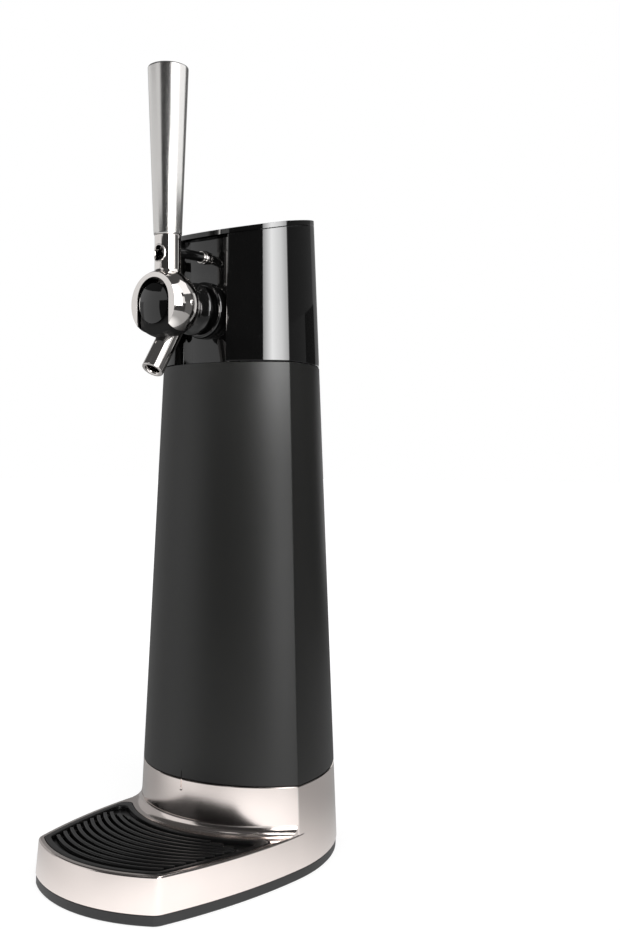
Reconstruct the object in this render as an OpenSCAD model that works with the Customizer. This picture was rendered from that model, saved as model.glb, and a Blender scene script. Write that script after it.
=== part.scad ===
// Home beer dispenser: a tapered tower on a base with a drip tray, with a lever tap on its head.
// Millimetres, +Z up, +X to the right of someone facing the tap, -Y to the front.
// The origin is on the table, under the middle of the base.

/* [Tower] */
// Width across the two front creases where the tower meets the base
body_w = 134.4; // [128:0.2:144]
// Height of the matte casing between its two seams
body_h = 260; // [220:1:300]
// Plan at the head seam as a share of the plan at the base seam
body_top_scale = 0.817; // [0.78:0.001:0.9]
// How far the curved front stands out from the line between the creases
front_bulge = 33; // [30:0.1:38]
// How far the creases lie in front of the axis that the tower tapers to
crease_front = 29.8; // [27:0.1:33]
// Radius of the tower's sides
side_r = 106; // [96:1:125]
// Angle through which each side turns before the round back begins
side_turn = 40; // [34:1:46]
// Rounding of the creases
crease_r = 2; // [1:0.1:4]
// Wall thickness of casing, head and base
wall = 2.6; // [2:0.1:3.2]

/* [Head] */
// Height of the head at its front edge
head_h = 82.7; // [80:0.1:100]
// Slope of the head's top, rising to the back
head_slope = 11.7; // [5:0.1:14]
// Thickness of the cap's visible rim
cap_t = 3; // [2:0.1:4]
// Depth of the cap's skirt inside the head
cap_skirt = 4; // [3:0.1:5]
// Width of the recess in the front of the head
recess_w = 41.4; // [40:0.2:48]
// Depth of the recess at the head seam
recess_depth = 8.9; // [8:0.1:10]
// Height of the head's wall above the recess
recess_top = 2; // [1.5:0.1:6]
// Thickness of the fascia plate behind the recess
fascia_t = 3; // [2:0.1:4]

/* [Base] */
// Height of the black foot strip
foot_h = 6.3; // [5.4:0.1:8]
// Height of the silver skirt above the foot strip
skirt_h = 21; // [19:0.1:28]
// Height of the collar between the deck and the tower seam
collar_h = 29; // [26:0.1:40]
// Distance from the tower's axis to the front of the base
nose_reach = 149.9; // [142:0.1:165]
// Radius of the front of the base
nose_r = 94.5; // [84:0.5:130]
// Width across the front corners of the base before they are rounded
nose_w = 105.5; // [96:0.5:116]
// Rounding of the front corners of the base
corner_r = 9; // [8:0.5:14]
// Bevel along the upper edge of the skirt
lip_bevel = 1.2; // [0.6:0.1:2]
// Rounding between the collar and the deck
collar_fillet = 5.8; // [4:0.1:6]
// How far the rubber feet stand out below the foot strip
feet_proud = 0.3; // [0.2:0.1:1]
// Diameter of a rubber foot
feet_d = 15; // [12:0.5:17]

/* [Drip tray] */
// Silver border between the tray and the edge of the deck
tray_border = 3; // [2.8:0.1:5]
// Silver strip between the collar's foot and the tray
tray_strip = 6.2; // [6.1:0.1:9]
// Width of the grille's frame
frame_w = 4.2; // [3.4:0.1:5]
// Thickness of the grille
grille_t = 2.4; // [2:0.1:3]
// Number of curved ribs in the grille
rib_count = 11; // [8:1:13]
// Width of one rib
rib_w = 2.6; // [1.8:0.1:3]
// Depth of the pan below the deck
pan_depth = 16; // [14:0.5:18]
// Rounding of the tray's corners
tray_corner_r = 5; // [2:0.5:6]

/* [Tap] */
// Height of the tap ball above the head seam
ball_rise = 33.5; // [33:0.1:36]
// Distance from the fascia to the middle of the tap ball
tap_reach = 35.65; // [35:0.05:40]
// Diameter of the tap ball
ball_d = 42.8; // [42:0.1:44]
// Distance from the middle of the ball to its flat front
ball_face = 10.2; // [9.5:0.1:11]
// Distance of the neck and the pivot behind the middle of the ball
neck_back = 2.35; // [1.5:0.05:3]
// Width of the slot through the ball
slot_w = 27; // [26.6:0.1:28]
// Height of the upper slot end's centre above the middle of the ball
slot_up = 2.4; // [2:0.1:3]
// Depth to which the slot keeps its full width, which leaves it open below
slot_down = 22; // [21.6:0.1:24]
// Diameter of the neck
neck_d = 16; // [15:0.1:18]
// Height of the neck's top above the pivot
neck_top = 42.6; // [42.2:0.1:48]
// Diameter of the bore inside the neck
neck_bore = 9.4; // [9.2:0.1:10]
// Height of the push rod above the pivot
rod_rise = 33.8; // [33:0.1:34]
// Diameter of the push rod
rod_d = 6.2; // [5.6:0.1:6.4]
// Length of the handle
handle_len = 103; // [80:0.5:140]
// Diameter of the handle at its lower end
handle_low_d = 17.2; // [16:0.1:18]
// Diameter of the handle at its upper end
handle_top_d = 25; // [18:0.1:30]
// Diameter of the pivot pins
pin_d = 4; // [3:0.1:5]
// Diameter of the spout
spout_d = 13.6; // [12:0.1:14]
// Diameter of the spout's bore
spout_bore = 8; // [6:0.1:9]
// Angle of the spout from upright
spout_tilt = 33; // [31:0.5:35]
// Height of the spout's tip below the middle of the ball
spout_drop = 40.5; // [39:0.1:44]
// Distance of the spout's tip in front of the middle of the ball
spout_fwd = 10.4; // [9.5:0.1:11]
// Diameter of the front disc
disc_d = 23.4; // [20:0.1:23.6]
// Diameter of the shank where it enters the ball
shank_d = 21.6; // [20:0.1:22]
// Diameter of the shank's rounded rim
rim_d = 33; // [30:0.5:36]
// Diameter of the flange against the fascia
flange_d = 36; // [34:0.5:40]

/* [Chamber] */
// Room between the chamber tube and the casing's inner side at the head seam
tube_room = 9.3; // [9:0.1:14]
// Wall of the chamber tube
tube_wall = 2; // [1.6:0.1:2.4]
// Thickness of the bulkhead between chamber and head
bulkhead_t = 6; // [5:0.1:8]
// Diameter of the dip tube
dip_d = 8; // [7:0.1:9]
// Height of the cup's rim above the tower seam
cup_rise = 12; // [10:0.5:20]
// Diameter of the hose between bulkhead and tap
hose_d = 9; // [8.6:0.1:10]

/* [Fits] */
// Room between pieces that move apart
gap = 0.4; // [0.3:0.05:0.5]
// Running clearance of pins, rod and seals, on the radius
fit = 0.05; // [0.02:0.01:0.08]

/* [Hidden] */
$fn = 64;

silver = [0.80, 0.77, 0.74];
chrome = [0.78, 0.77, 0.76];
gloss_black = [0.03, 0.03, 0.03];
charcoal = [0.16, 0.165, 0.165];
soft_black = [0.08, 0.08, 0.08];
steel = [0.62, 0.62, 0.64];

// Heights of the seams
lip_z = foot_h + skirt_h;
seam_z = lip_z + collar_h;
head_z = seam_z + body_h;

// Plan of the tower at the base seam: a curved front, two sides and a round back, all arcs
crease_x = body_w / 2;
front_reach = crease_front + front_bulge;
front_r = (crease_x * crease_x + front_bulge * front_bulge) / (2 * front_bulge);
front_c = [0, front_r - front_reach];
side_c = [crease_x - side_r, -crease_front];
rear_r = side_r - (side_r - crease_x) / cos(side_turn);
rear_c = [0, (side_r - rear_r) * sin(side_turn) - crease_front];
back_reach = rear_c[1] + rear_r;

// Plan of the base at the top of the foot strip, with the nose in front of the creases
foot_k = taper(foot_h);
nose_c = [0, nose_r - nose_reach];
nose_corner = [nose_w / 2, nose_c[1] - sqrt(nose_r * nose_r - nose_w * nose_w / 4)];
flank_end = foot_k * [crease_x, -crease_front];
flank_in = flank_end[0] - nose_corner[0];
flank_run = flank_end[1] - nose_corner[1];
flank_r = (flank_in * flank_in + flank_run * flank_run) / (2 * flank_in);
flank_c = [flank_end[0] - flank_r, flank_end[1]];
corner_c = inner_tangent(nose_c, nose_r, flank_c, flank_r, corner_r);

// The tower's axis, placed so that the origin is under the middle of the base
tower_y = (nose_reach - back_reach * foot_k) / 2;

function taper(z) = 1 - (1 - body_top_scale) * (z - seam_z) / body_h;
function bearing(c, p) = atan2(p[1] - c[1], p[0] - c[0]);

// Centre of a circle of radius r that touches two circles from inside, on their right-hand side
function inner_tangent(c1, r1, c2, r2, r) =
    let (d = norm(c2 - c1), u = (c2 - c1) / d, a = r1 - r, b = r2 - r)
    let (t = (a * a - b * b + d * d) / (2 * d))
    c1 + t * u + sqrt(a * a - t * t) * [-u[1], u[0]];

// Points of an arc after its first one
function arc(c, r, from, to, n) =
    [for (i = [1:n]) let (a = from + (to - from) * i / n) c + r * [cos(a), sin(a)]];

// A whole outline from its right half, which starts and ends on the middle line
function both_halves(half) =
    concat(half, [for (i = [len(half) - 2:-1:1]) [-half[i][0], half[i][1]]]);

// Tower plan at the base seam, moved in by inset
function tower_plan(inset) =
    let (r = max(crease_r - inset, 0.5))
    let (c = inner_tangent(front_c, front_r - inset, side_c, side_r - inset, r))
    let (a = bearing(front_c, c), b = bearing(side_c, c))
    both_halves(concat(
        [front_c - [0, front_r - inset]],
        arc(front_c, front_r - inset, -90, a, 14),
        arc(c, r, a, b, 3),
        arc(side_c, side_r - inset, b, side_turn, 8),
        arc(rear_c, rear_r - inset, side_turn, 90, 10)));

// Base plan at the top of the foot strip, moved in by inset, and by rear behind the creases
function base_plan(inset, rear) =
    let (r = max(corner_r - inset, 0.5))
    let (c = inner_tangent(nose_c, nose_r - inset, flank_c, flank_r - inset, r))
    let (a = bearing(nose_c, c), b = bearing(flank_c, c))
    let (crease = inner_tangent(front_c, front_r, side_c, side_r, crease_r))
    let (turn = bearing(side_c, crease))
    both_halves(concat(
        [nose_c - [0, nose_r - inset]],
        arc(nose_c, nose_r - inset, -90, a, 10),
        arc(c, r, a, b, 5),
        arc(flank_c, flank_r - inset, b, b / 8, 7),
        arc(foot_k * side_c, foot_k * side_r - rear, 0, turn, 1),
        arc(foot_k * side_c, foot_k * side_r - rear, turn, side_turn, 8),
        arc(foot_k * rear_c, foot_k * rear_r - rear, side_turn, 90, 10)));

// Rings of points at height z, with the taper and a true inset in millimetres
function tower_ring(z, inset = 0) =
    let (k = taper(z)) [for (p = tower_plan(inset / k)) [k * p[0], k * p[1] + tower_y, z]];
function base_ring(z, inset = 0) = edge_ring(z, inset, inset);
function edge_ring(z, inset, rear) =
    let (k = taper(z) / foot_k)
    [for (p = base_plan(inset / k, rear / k)) [k * p[0], k * p[1] + tower_y, z]];

// Half-width of the tower at distance y from its axis and height z
function side_at(y, z) =
    let (k = taper(z)) k * (side_c[0] + sqrt(side_r * side_r - pow(y / k - side_c[1], 2)));

// Closed solid through rings of equally many points
module loft(rings) {
    n = len(rings[0]);
    m = len(rings);
    sides = [for (k = [0:m - 2]) for (i = [0:n - 1])
        let (j = (i + 1) % n, a = k * n + i, b = k * n + j)
        each [[a, a + n, b + n], [a, b + n, b]]];
    polyhedron(
        points = [for (ring = rings) each ring],
        faces = concat([[for (i = [0:n - 1]) i]], sides, [[for (i = [n - 1:-1:0]) (m - 1) * n + i]]));
}

module tower_solid(z_low, z_high, inset = 0) {
    loft([tower_ring(z_low, inset), tower_ring(z_high, inset)]);
}

module base_solid(z_low, z_high, inset = 0) {
    loft([base_ring(z_low, inset), base_ring(z_high, inset)]);
}

// A cylinder along +Y
module along_y(r, len) {
    rotate([-90, 0, 0]) cylinder(r = r, h = len);
}

// A cylinder along X, centred
module along_x(r, len) {
    rotate([0, 90, 0]) cylinder(r = r, h = len, center = true);
}

// Base: foot strip, feet and screws
plate_floor = 3.4;
strip_in = 0.8;
strip_top_in = 0.4;
strip_bevel = 0.5;
strip_wall = wall + 1.5;
screw_r = 1.5;
screw_head_r = 2.8;
screw_head_h = 1.8;
base_boss_r = 3.5;
base_boss_bite = 0.8;
base_boss_in = wall + base_boss_r - base_boss_bite;
base_boss_a = (bearing(nose_c, corner_c) + bearing(flank_c, corner_c)) / 2;
base_boss_front = corner_c + (corner_r - base_boss_in) * [cos(base_boss_a), sin(base_boss_a)];
base_boss_back = foot_k * rear_c + (foot_k * rear_r - base_boss_in) * [cos(side_turn), sin(side_turn)];
base_screw_len = 12;
feet_sunk = 1.2;
feet_in = 22;
feet_front = nose_corner + [-feet_in, feet_in];
feet_back = [base_boss_back[0] - feet_in / 2, base_boss_back[1] - feet_in / 2];

// The same piece at four places, mirrored so that +X points outwards at each
module four_places(front, back) {
    for (p = [front, back], s = [0, 1])
        mirror([s, 0, 0]) translate([p[0], p[1] + tower_y, 0]) children();
}

module bottom_plate() color(soft_black) difference() {
    loft([base_ring(feet_proud, strip_in + strip_bevel), base_ring(feet_proud + strip_bevel, strip_in),
          base_ring(foot_h, strip_top_in)]);
    base_solid(plate_floor, foot_h + 1, strip_wall);
    four_places(base_boss_front, base_boss_back) {
        cylinder(r = screw_r + fit, h = foot_h);
        cylinder(r = screw_head_r + fit, h = feet_proud + screw_head_h);
        translate([0, 0, plate_floor]) cylinder(r = base_boss_r + gap, h = foot_h);
    }
    four_places(feet_front, feet_back)
        cylinder(d = feet_d + 2 * fit, h = feet_proud + feet_sunk);
}

module rubber_feet() color(soft_black)
    four_places(feet_front, feet_back) cylinder(d = feet_d, h = feet_proud + feet_sunk);

module base_screws() color(steel)
    four_places(base_boss_front, base_boss_back) {
        translate([0, 0, feet_proud]) cylinder(r = screw_head_r, h = screw_head_h);
        translate([0, 0, feet_proud]) cylinder(r = screw_r, h = base_screw_len);
    }

// Base: housing with its deck, collar and locating rim
deck_t = 6.6;
flange_t = 1.2;
grille_proud = 0.4;
rebate = 2 * gap + flange_t + grille_t - grille_proud;
well_in = frame_w + 2.5;
rim_h = 6;
rim_t = 2;
tick_w = 1;
tick_deep = 0.6;
tick_h = 5;
drop_r = 1.2;
dot_r = 0.8;

// Outline of the drip tray, moved in by inset
tray_k = taper(lip_z) / foot_k;
tray_rear_r = front_r * taper(lip_z) + tray_strip;
tray_rear_c = taper(lip_z) * front_c;
module tray_shape(inset) {
    offset(r = tray_corner_r) offset(delta = -tray_corner_r - inset) translate([0, tower_y]) difference() {
        scale(tray_k) polygon(base_plan(tray_border, tray_border));
        translate(tray_rear_c) circle(r = tray_rear_r);
        translate([-body_w, tray_rear_c[1] - tray_rear_r / 4]) square([2 * body_w, body_w]);
    }
}

module collar_foot() {
    r = front_r * taper(lip_z);
    intersection() {
        translate([0, tower_y + tray_rear_c[1], lip_z]) rotate_extrude() difference() {
            translate([r - wall, -1]) square([collar_fillet + wall, collar_fillet + 1]);
            translate([r + collar_fillet, collar_fillet]) circle(r = collar_fillet);
        }
        base_solid(lip_z - 2, lip_z + collar_fillet + 1, lip_bevel);
    }
}

module base_housing() color(silver) difference() {
    union() {
        difference() {
            union() {
                loft([base_ring(foot_h), base_ring(lip_z - lip_bevel), edge_ring(lip_z, lip_bevel, 0)]);
                loft([tower_ring(lip_z - wall, wall / 2), tower_ring(lip_z), tower_ring(seam_z - gap / 2)]);
                collar_foot();
            }
            base_solid(foot_h - 1, lip_z - deck_t, wall);
            tower_solid(lip_z - deck_t - 1, seam_z + 1, wall + gap + rim_t / 2);
        }
        difference() {
            tower_solid(seam_z - rim_h, seam_z + rim_h, wall + gap);
            tower_solid(seam_z - rim_h - 1, seam_z + rim_h + 1, wall + gap + rim_t);
        }
        four_places(base_boss_front, base_boss_back)
            translate([0, 0, plate_floor]) cylinder(r = base_boss_r, h = lip_z - deck_t - plate_floor + 1);
    }
    translate([0, 0, lip_z - rebate]) linear_extrude(rebate + 1) tray_shape(0);
    translate([0, 0, lip_z - deck_t - 1]) linear_extrude(deck_t + 2) tray_shape(well_in - gap);
    four_places(base_boss_front, base_boss_back) cylinder(r = screw_r + fit, h = base_screw_len + 2);
    translate([-tick_w / 2, tower_y - front_reach * taper(seam_z - tick_h) - 1, seam_z - tick_h])
        cube([tick_w, tick_deep + 1, tick_h]);
    translate([0, tower_y - front_reach * taper(seam_z - tick_h) - 1, seam_z - tick_h])
        along_y(drop_r, tick_deep + 1);
}

// Base: cup that the bottle or can stands in
tube_y = (back_reach - front_reach) / 2 * body_top_scale;
tube_bore = 2 * (side_at(tube_y, head_z) - wall - tube_room - tube_wall);
rest_rise = 4;
rest_z = lip_z + rest_rise;
rest_t = 3;
rest_lip = 4;
rest_r = tube_bore / 2 + tube_wall + rest_lip;
cup_r = tube_bore / 2 - gap;
cup_wall = 3.4;
pad_t = 2;
post_r = 4;
post_ring = tube_bore / 2 - 2 * post_r;
seal_r = 1.2;
seal_down = 4;
seal_z = seam_z + cup_rise - seal_down;
groove_r = tube_bore / 2 - 2 * (seal_r + fit);

module at_tube(z) {
    translate([0, tower_y + tube_y, z]) children();
}

module container_rest() color(soft_black) {
    at_tube(rest_z - rest_t) cylinder(r = rest_r, h = rest_t);
    difference() {
        at_tube(rest_z - 1) cylinder(r = cup_r, h = seam_z + cup_rise - rest_z + 1);
        at_tube(rest_z) cylinder(r = cup_r - cup_wall, h = seam_z + cup_rise);
        at_tube(seal_z) rotate_extrude()
            translate([groove_r, -seal_r - fit]) square(2 * (seal_r + fit));
    }
    for (i = [0:2])
        at_tube(plate_floor) rotate(90 + 120 * i) translate([post_ring, 0, 0])
            cylinder(r = post_r, h = rest_z - rest_t - plate_floor + 1);
}

module rest_pad() color(soft_black)
    at_tube(rest_z) cylinder(r = cup_r - cup_wall - gap, h = pad_t);

module base_seal() color(soft_black)
    at_tube(seal_z) rotate_extrude() translate([tube_bore / 2 - fit - seal_r, 0]) circle(r = seal_r);

// Drip tray: pan and grille
pan_wall = 1.6;
pan_z = lip_z - rebate + gap;
grille_z = pan_z + flange_t + gap;
rib_r = tray_k * nose_r - tray_border - frame_w;
rib_first = tray_k * nose_c[1] - rib_r;
rib_last = tray_rear_c[1] - tray_rear_r - frame_w;
rib_pitch = (rib_last - rib_first) / (rib_count + 1);
rib_low = 1.2;
rib_end = 2.5;

module drip_pan() color(soft_black) difference() {
    union() {
        translate([0, 0, pan_z]) linear_extrude(flange_t) tray_shape(gap);
        translate([0, 0, lip_z - pan_depth]) linear_extrude(pan_z + flange_t - lip_z + pan_depth)
            tray_shape(well_in);
    }
    translate([0, 0, lip_z - pan_depth + pan_wall])
        linear_extrude(pan_depth) tray_shape(well_in + pan_wall);
}

// The ribs, ended at a line that lies inset inside the tray's outline
module ribs(inset) {
    intersection() {
        tray_shape(inset);
        union() {
            for (i = [1:rib_count])
                translate([0, tower_y + rib_first + rib_r + i * rib_pitch]) difference() {
                    circle(r = rib_r + rib_w / 2, $fn = 180);
                    circle(r = rib_r - rib_w / 2, $fn = 180);
                }
        }
    }
}

module drip_grille() color(soft_black) translate([0, 0, grille_z]) {
    linear_extrude(grille_t) difference() {
        tray_shape(gap);
        tray_shape(frame_w);
    }
    linear_extrude(rib_low) ribs(frame_w - 0.8);
    linear_extrude(grille_t) ribs(frame_w + rib_end);
}

// Tower: casing, chamber tube and bulkhead
bulk_z = head_z - bulkhead_t;
ledge_t = 3;
lug_r = 3.6;
boss_r = 3.4;
boss_pitch = 15;
boss_behind = 5;
boss_front_y = boss_behind - crease_front * body_top_scale;
boss_front = [side_at(boss_front_y, head_z) - wall - boss_r - gap, boss_front_y];
boss_back = [side_at(boss_front_y + boss_pitch, head_z) - wall - boss_r - gap, boss_front_y + boss_pitch];
boss_h = 14;
socket_t = 2;
socket_h = 8;
tube_lap = 14;
tube_low = seam_z - tube_lap;
tube_seal_t = 2;
nipple_r = 3;
nipple_up = 10;
nipple_down = 10;
dip_wall = 1.4;
dip_clear = 14;
dip_end = rest_z + dip_clear;
air_r = 2;
air_up = 8;
air_bend = 5;
pump_w = 24;
pump_room = 5;
pump_x = boss_back[0] - boss_r - pump_room - pump_w / 2;
air_hose_r = 3.4;
hose_gap = 2;
air_at = [pump_x - pump_w / 2 - air_bend, tube_y + hose_d / 2 + air_hose_r + hose_gap];
pump_y = air_at[1] - pump_w / 4;

module body_shell() color(charcoal) difference() {
    union() {
        difference() {
            tower_solid(seam_z + gap / 2, head_z - gap / 2);
            tower_solid(seam_z - 1, head_z + 1, wall);
        }
        intersection() {
            four_places(boss_front, boss_back) translate([0, 0, bulk_z - ledge_t]) {
                cylinder(r = lug_r, h = ledge_t);
                translate([0, -lug_r, 0]) cube([lug_r + wall, 2 * lug_r, ledge_t]);
            }
            tower_solid(seam_z + 1, head_z - 1, wall / 2);
        }
    }
    four_places(boss_front, boss_back)
        translate([0, 0, bulk_z - ledge_t - 1]) cylinder(r = screw_r + fit, h = ledge_t + 2);
    translate([0, tower_y - front_reach * taper(seam_z + tick_h) - 1, seam_z + tick_h])
        along_y(dot_r, tick_deep + 1);
}

module chamber_tube() color([0.75, 0.76, 0.77]) difference() {
    at_tube(tube_low) cylinder(d = tube_bore + 2 * tube_wall, h = bulk_z - tube_seal_t - tube_low);
    at_tube(tube_low - 1) cylinder(d = tube_bore, h = bulk_z);
}

module tube_seal() color(soft_black) difference() {
    at_tube(bulk_z - tube_seal_t) cylinder(d = tube_bore + 2 * tube_wall, h = tube_seal_t);
    at_tube(bulk_z - tube_seal_t - 1) cylinder(d = tube_bore, h = tube_seal_t + 2);
}

module bulkhead() color(soft_black) difference() {
    union() {
        tower_solid(bulk_z, head_z, wall + gap / 2);
        difference() {
            at_tube(bulk_z - socket_h)
                cylinder(d = tube_bore + 2 * (tube_wall + fit + socket_t), h = socket_h + 1);
            at_tube(bulk_z - socket_h - 1)
                cylinder(d = tube_bore + 2 * (tube_wall + fit), h = socket_h + 1);
        }
        at_tube(bulk_z - nipple_down) cylinder(r = dip_d / 2 - dip_wall - fit, h = nipple_down + 1);
        at_tube(head_z - 1) cylinder(r = nipple_r, h = nipple_up + 1);
        translate([air_at[0], tower_y + air_at[1], head_z - 1]) cylinder(r = air_r, h = air_up + 1);
    }
    at_tube(bulk_z - nipple_down - 1)
        cylinder(r = nipple_r / 2, h = bulkhead_t + nipple_up + nipple_down + 2);
    translate([air_at[0], tower_y + air_at[1], bulk_z - 1])
        cylinder(r = air_r / 2, h = bulkhead_t + air_up + 2);
    four_places(boss_front, boss_back)
        translate([0, 0, bulk_z - 1]) cylinder(r = screw_r + fit, h = bulkhead_t + 2);
}

module dip_tube() color([0.85, 0.86, 0.87]) difference() {
    at_tube(dip_end) cylinder(d = dip_d, h = bulk_z - dip_end);
    at_tube(dip_end - 1) cylinder(r = dip_d / 2 - dip_wall, h = bulk_z);
}

module head_screws() color(steel)
    four_places(boss_front, boss_back) {
        translate([0, 0, bulk_z - ledge_t - screw_head_h]) cylinder(r = screw_head_r, h = screw_head_h);
        translate([0, 0, bulk_z - ledge_t - 1])
            cylinder(r = screw_r, h = ledge_t + bulkhead_t + boss_h - 1);
    }

// Head: shell with its recess, fascia and cap
top_z = head_z + head_h;
top_y = -front_reach * taper(top_z);
back_rise = (back_reach - top_y) * tan(head_slope);
fascia_y = recess_depth - front_reach * body_top_scale;
fascia_rim = 2;
recess_h = head_h - cap_t - gap - recess_top;
far = 400;
cell_d = 14.5;
cell_len = 50.5;
holder_wall = 2;
contact_room = 2;
cell_gap = 0.5;
holder_rise = 62;
holder_cut = 4;
holder_len = cell_len + 2 * contact_room + 2 * holder_wall;
holder_w = 2 * (cell_d + cell_gap + holder_wall);
holder_z = head_z + holder_rise;
holder_y = -8;
shelf_t = 4;
shelf_in = 4;

// Everything below the sloped top after it is lowered by drop
module below_top(drop) {
    translate([0, tower_y + top_y, top_z]) rotate([head_slope, 0, 0])
        translate([-far / 2, -far / 2, -far - drop]) cube([far, far, far]);
}

module head_shell() color(gloss_black) difference() {
    intersection() {
        union() {
            difference() {
                tower_solid(head_z + gap / 2, top_z + back_rise);
                tower_solid(head_z - 1, top_z + back_rise + 1, wall);
            }
            intersection() {
                tower_solid(head_z + gap / 2, top_z + back_rise);
                translate([-recess_w / 2 - wall, tower_y - far, head_z])
                    cube([recess_w + 2 * wall, far + fascia_y + fascia_t + fascia_rim, head_h]);
            }
            intersection() {
                tower_solid(head_z + 1, top_z, wall / 2);
                for (s = [-1, 1])
                    translate([s * (holder_len / 2 - shelf_in) - (s < 0 ? far : 0),
                               tower_y + holder_y, holder_z - shelf_t])
                        cube([far, holder_w, shelf_t]);
            }
            intersection() {
                tower_solid(head_z + gap / 2, top_z, wall / 2);
                four_places(boss_front, boss_back)
                    translate([0, 0, head_z]) {
                        cylinder(r = boss_r, h = boss_h);
                        translate([0, -wall / 2, 0]) cube([boss_r + gap + wall, wall, boss_h]);
                    }
            }
        }
        below_top(cap_t + gap);
    }
    translate([-recess_w / 2, tower_y - far, head_z - 1])
        cube([recess_w, far + fascia_y + fascia_t, recess_h + 1]);
    translate([fascia_rim - recess_w / 2, tower_y + fascia_y, head_z - 1])
        cube([recess_w - 2 * fascia_rim, fascia_t + 2 * fascia_rim, recess_h - fascia_rim + 1]);
    four_places(boss_front, boss_back)
        translate([0, 0, head_z - 1]) cylinder(r = screw_r + fit, h = boss_h);
}

module head_cap() color(gloss_black) {
    difference() {
        intersection() {
            tower_solid(head_z + head_h / 2, top_z + back_rise + 1);
            below_top(0);
        }
        below_top(cap_t);
    }
    difference() {
        intersection() {
            tower_solid(head_z + head_h / 2, top_z + back_rise + 1, wall + 2 * gap);
            below_top(cap_t - 0.5);
        }
        below_top(cap_t + cap_skirt);
        tower_solid(head_z, top_z + 2 * back_rise, 2 * wall + 2 * gap);
        translate([-recess_w / 2 - wall - gap, tower_y - far, head_z])
            cube([recess_w + 2 * (wall + gap), far + fascia_y + fascia_t + fascia_rim + 2 * gap, far]);
    }
}

// Tap: everything is placed from the middle of the ball
ball_z = head_z + ball_rise;
ball_y = fascia_y - tap_reach;
rod_hole_r = 4.2;
bush_flange_r = 4.8;
bush_flange_t = 4.5;
bush_tail = 2.5;
hose_bend = 14;
tail_nipple = 4;
shank_bore = 4;
thread_r = 7;
tail_y = tube_y - hose_bend - tail_nipple - ball_y;
nut_t = 6;
nut_r = 11;
transducer_t = 4;
flange_t_tap = 5;
core_room = 0.5;
core_r = slot_w / 2 - core_room;
core_back = 14.6;
rim_y = core_back + 7.5;
rim_flare = 3.5;
rim_round = 1.3;
rim_t_tap = 4.1;
core_front_r = disc_d / 2 - 0.3;
disc_t = 2.5;
disc_front = ball_face + 0.4;
chin_r = ball_d / 2 - 0.8;
chin_w = 24.8;
boss_wall = 1.8;
boss_drop = 2;
spout_len = 34;

module at_ball() {
    translate([0, tower_y + ball_y, ball_z]) children();
}

// Along the spout from its tip, up and back
module at_spout() {
    translate([0, -spout_fwd, -spout_drop]) rotate([-spout_tilt, 0, 0]) children();
}

module tap_fascia() color(gloss_black) difference() {
    translate([fit - recess_w / 2, tower_y + fascia_y, head_z])
        cube([recess_w - 2 * fit, fascia_t, recess_h - fit]);
    at_ball() translate([0, tap_reach - 1, 0]) along_y(thread_r + fit, fascia_t + 2);
    at_ball() translate([0, tap_reach - 1, rod_rise]) along_y(rod_hole_r + fit, fascia_t + 2);
}

module tap_shank() color(soft_black) at_ball() rotate([-90, 0, 0]) difference() {
    rotate_extrude() polygon([
        [0, core_back], [shank_d / 2, core_back], [shank_d / 2, rim_y - rim_flare],
        [rim_d / 2 - rim_round, rim_y], [rim_d / 2, rim_y + rim_round],
        [rim_d / 2, rim_y + rim_t_tap - rim_round], [rim_d / 2 - rim_round, rim_y + rim_t_tap],
        [shank_d / 2, rim_y + rim_t_tap + 1], [shank_d / 2, tap_reach], [thread_r, tap_reach],
        [thread_r, tail_y], [nipple_r, tail_y], [nipple_r, tail_y + tail_nipple],
        [0, tail_y + tail_nipple]]);
    cylinder(r = shank_bore, h = tail_y - 2);
    cylinder(r = nipple_r / 2, h = tail_y + tail_nipple + 1);
}

module shank_flange() color(gloss_black) at_ball() rotate([-90, 0, 0]) rotate_extrude()
    polygon([
        [shank_d / 2 + fit, tap_reach - flange_t_tap], [flange_d / 2 - 2, tap_reach - flange_t_tap],
        [flange_d / 2 - 0.6, tap_reach - flange_t_tap + 0.6], [flange_d / 2, tap_reach - flange_t_tap + 2],
        [flange_d / 2, tap_reach], [shank_d / 2 + fit, tap_reach]]);

module shank_nut() color(steel) at_ball() translate([0, tap_reach + fascia_t, 0]) difference() {
    rotate([-90, 0, 0]) cylinder(r = nut_r, h = nut_t, $fn = 6);
    translate([0, -1, 0]) along_y(thread_r + fit, nut_t + 2);
}

module foam_transducer() color([0.75, 0.72, 0.6])
    at_ball() translate([0, tap_reach + fascia_t + nut_t, 0]) difference() {
        along_y(nut_r, transducer_t);
        translate([0, -1, 0]) along_y(thread_r + fit, transducer_t + 2);
    }

module tap_core() color(soft_black) at_ball() difference() {
    union() {
        intersection() {
            translate([0, neck_back, 0]) sphere(r = core_r);
            translate([-ball_d, disc_t - disc_front, -ball_d]) cube(2 * ball_d);
        }
        along_y(shank_d / 2, core_back);
        translate([0, disc_t - disc_front, 0]) along_y(core_front_r, disc_front);
        intersection() {
            sphere(r = chin_r);
            translate([-chin_w / 2, disc_t - disc_front, -ball_d]) cube([chin_w, ball_d, ball_d]);
        }
        intersection() {
            at_spout() cylinder(r = spout_d / 2 + boss_wall, h = spout_len + ball_d / 5);
            translate([-chin_w / 2, disc_t - disc_front, -ball_d / 2 - boss_drop])
                cube([chin_w, ball_d, ball_d / 2 + boss_drop]);
        }
    }
    at_spout() cylinder(r = spout_d / 2 + fit, h = spout_len);
    at_spout() cylinder(r = spout_bore / 2, h = spout_len + ball_d / 3);
    translate([0, core_back, 0]) along_y(shank_d / 2 + fit, ball_d);
    translate([0, core_back / 2, 0]) along_y(shank_bore, core_back);
    translate([0, neck_back, 0]) along_x(pin_d / 2 + fit, 2 * ball_d);
}

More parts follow.
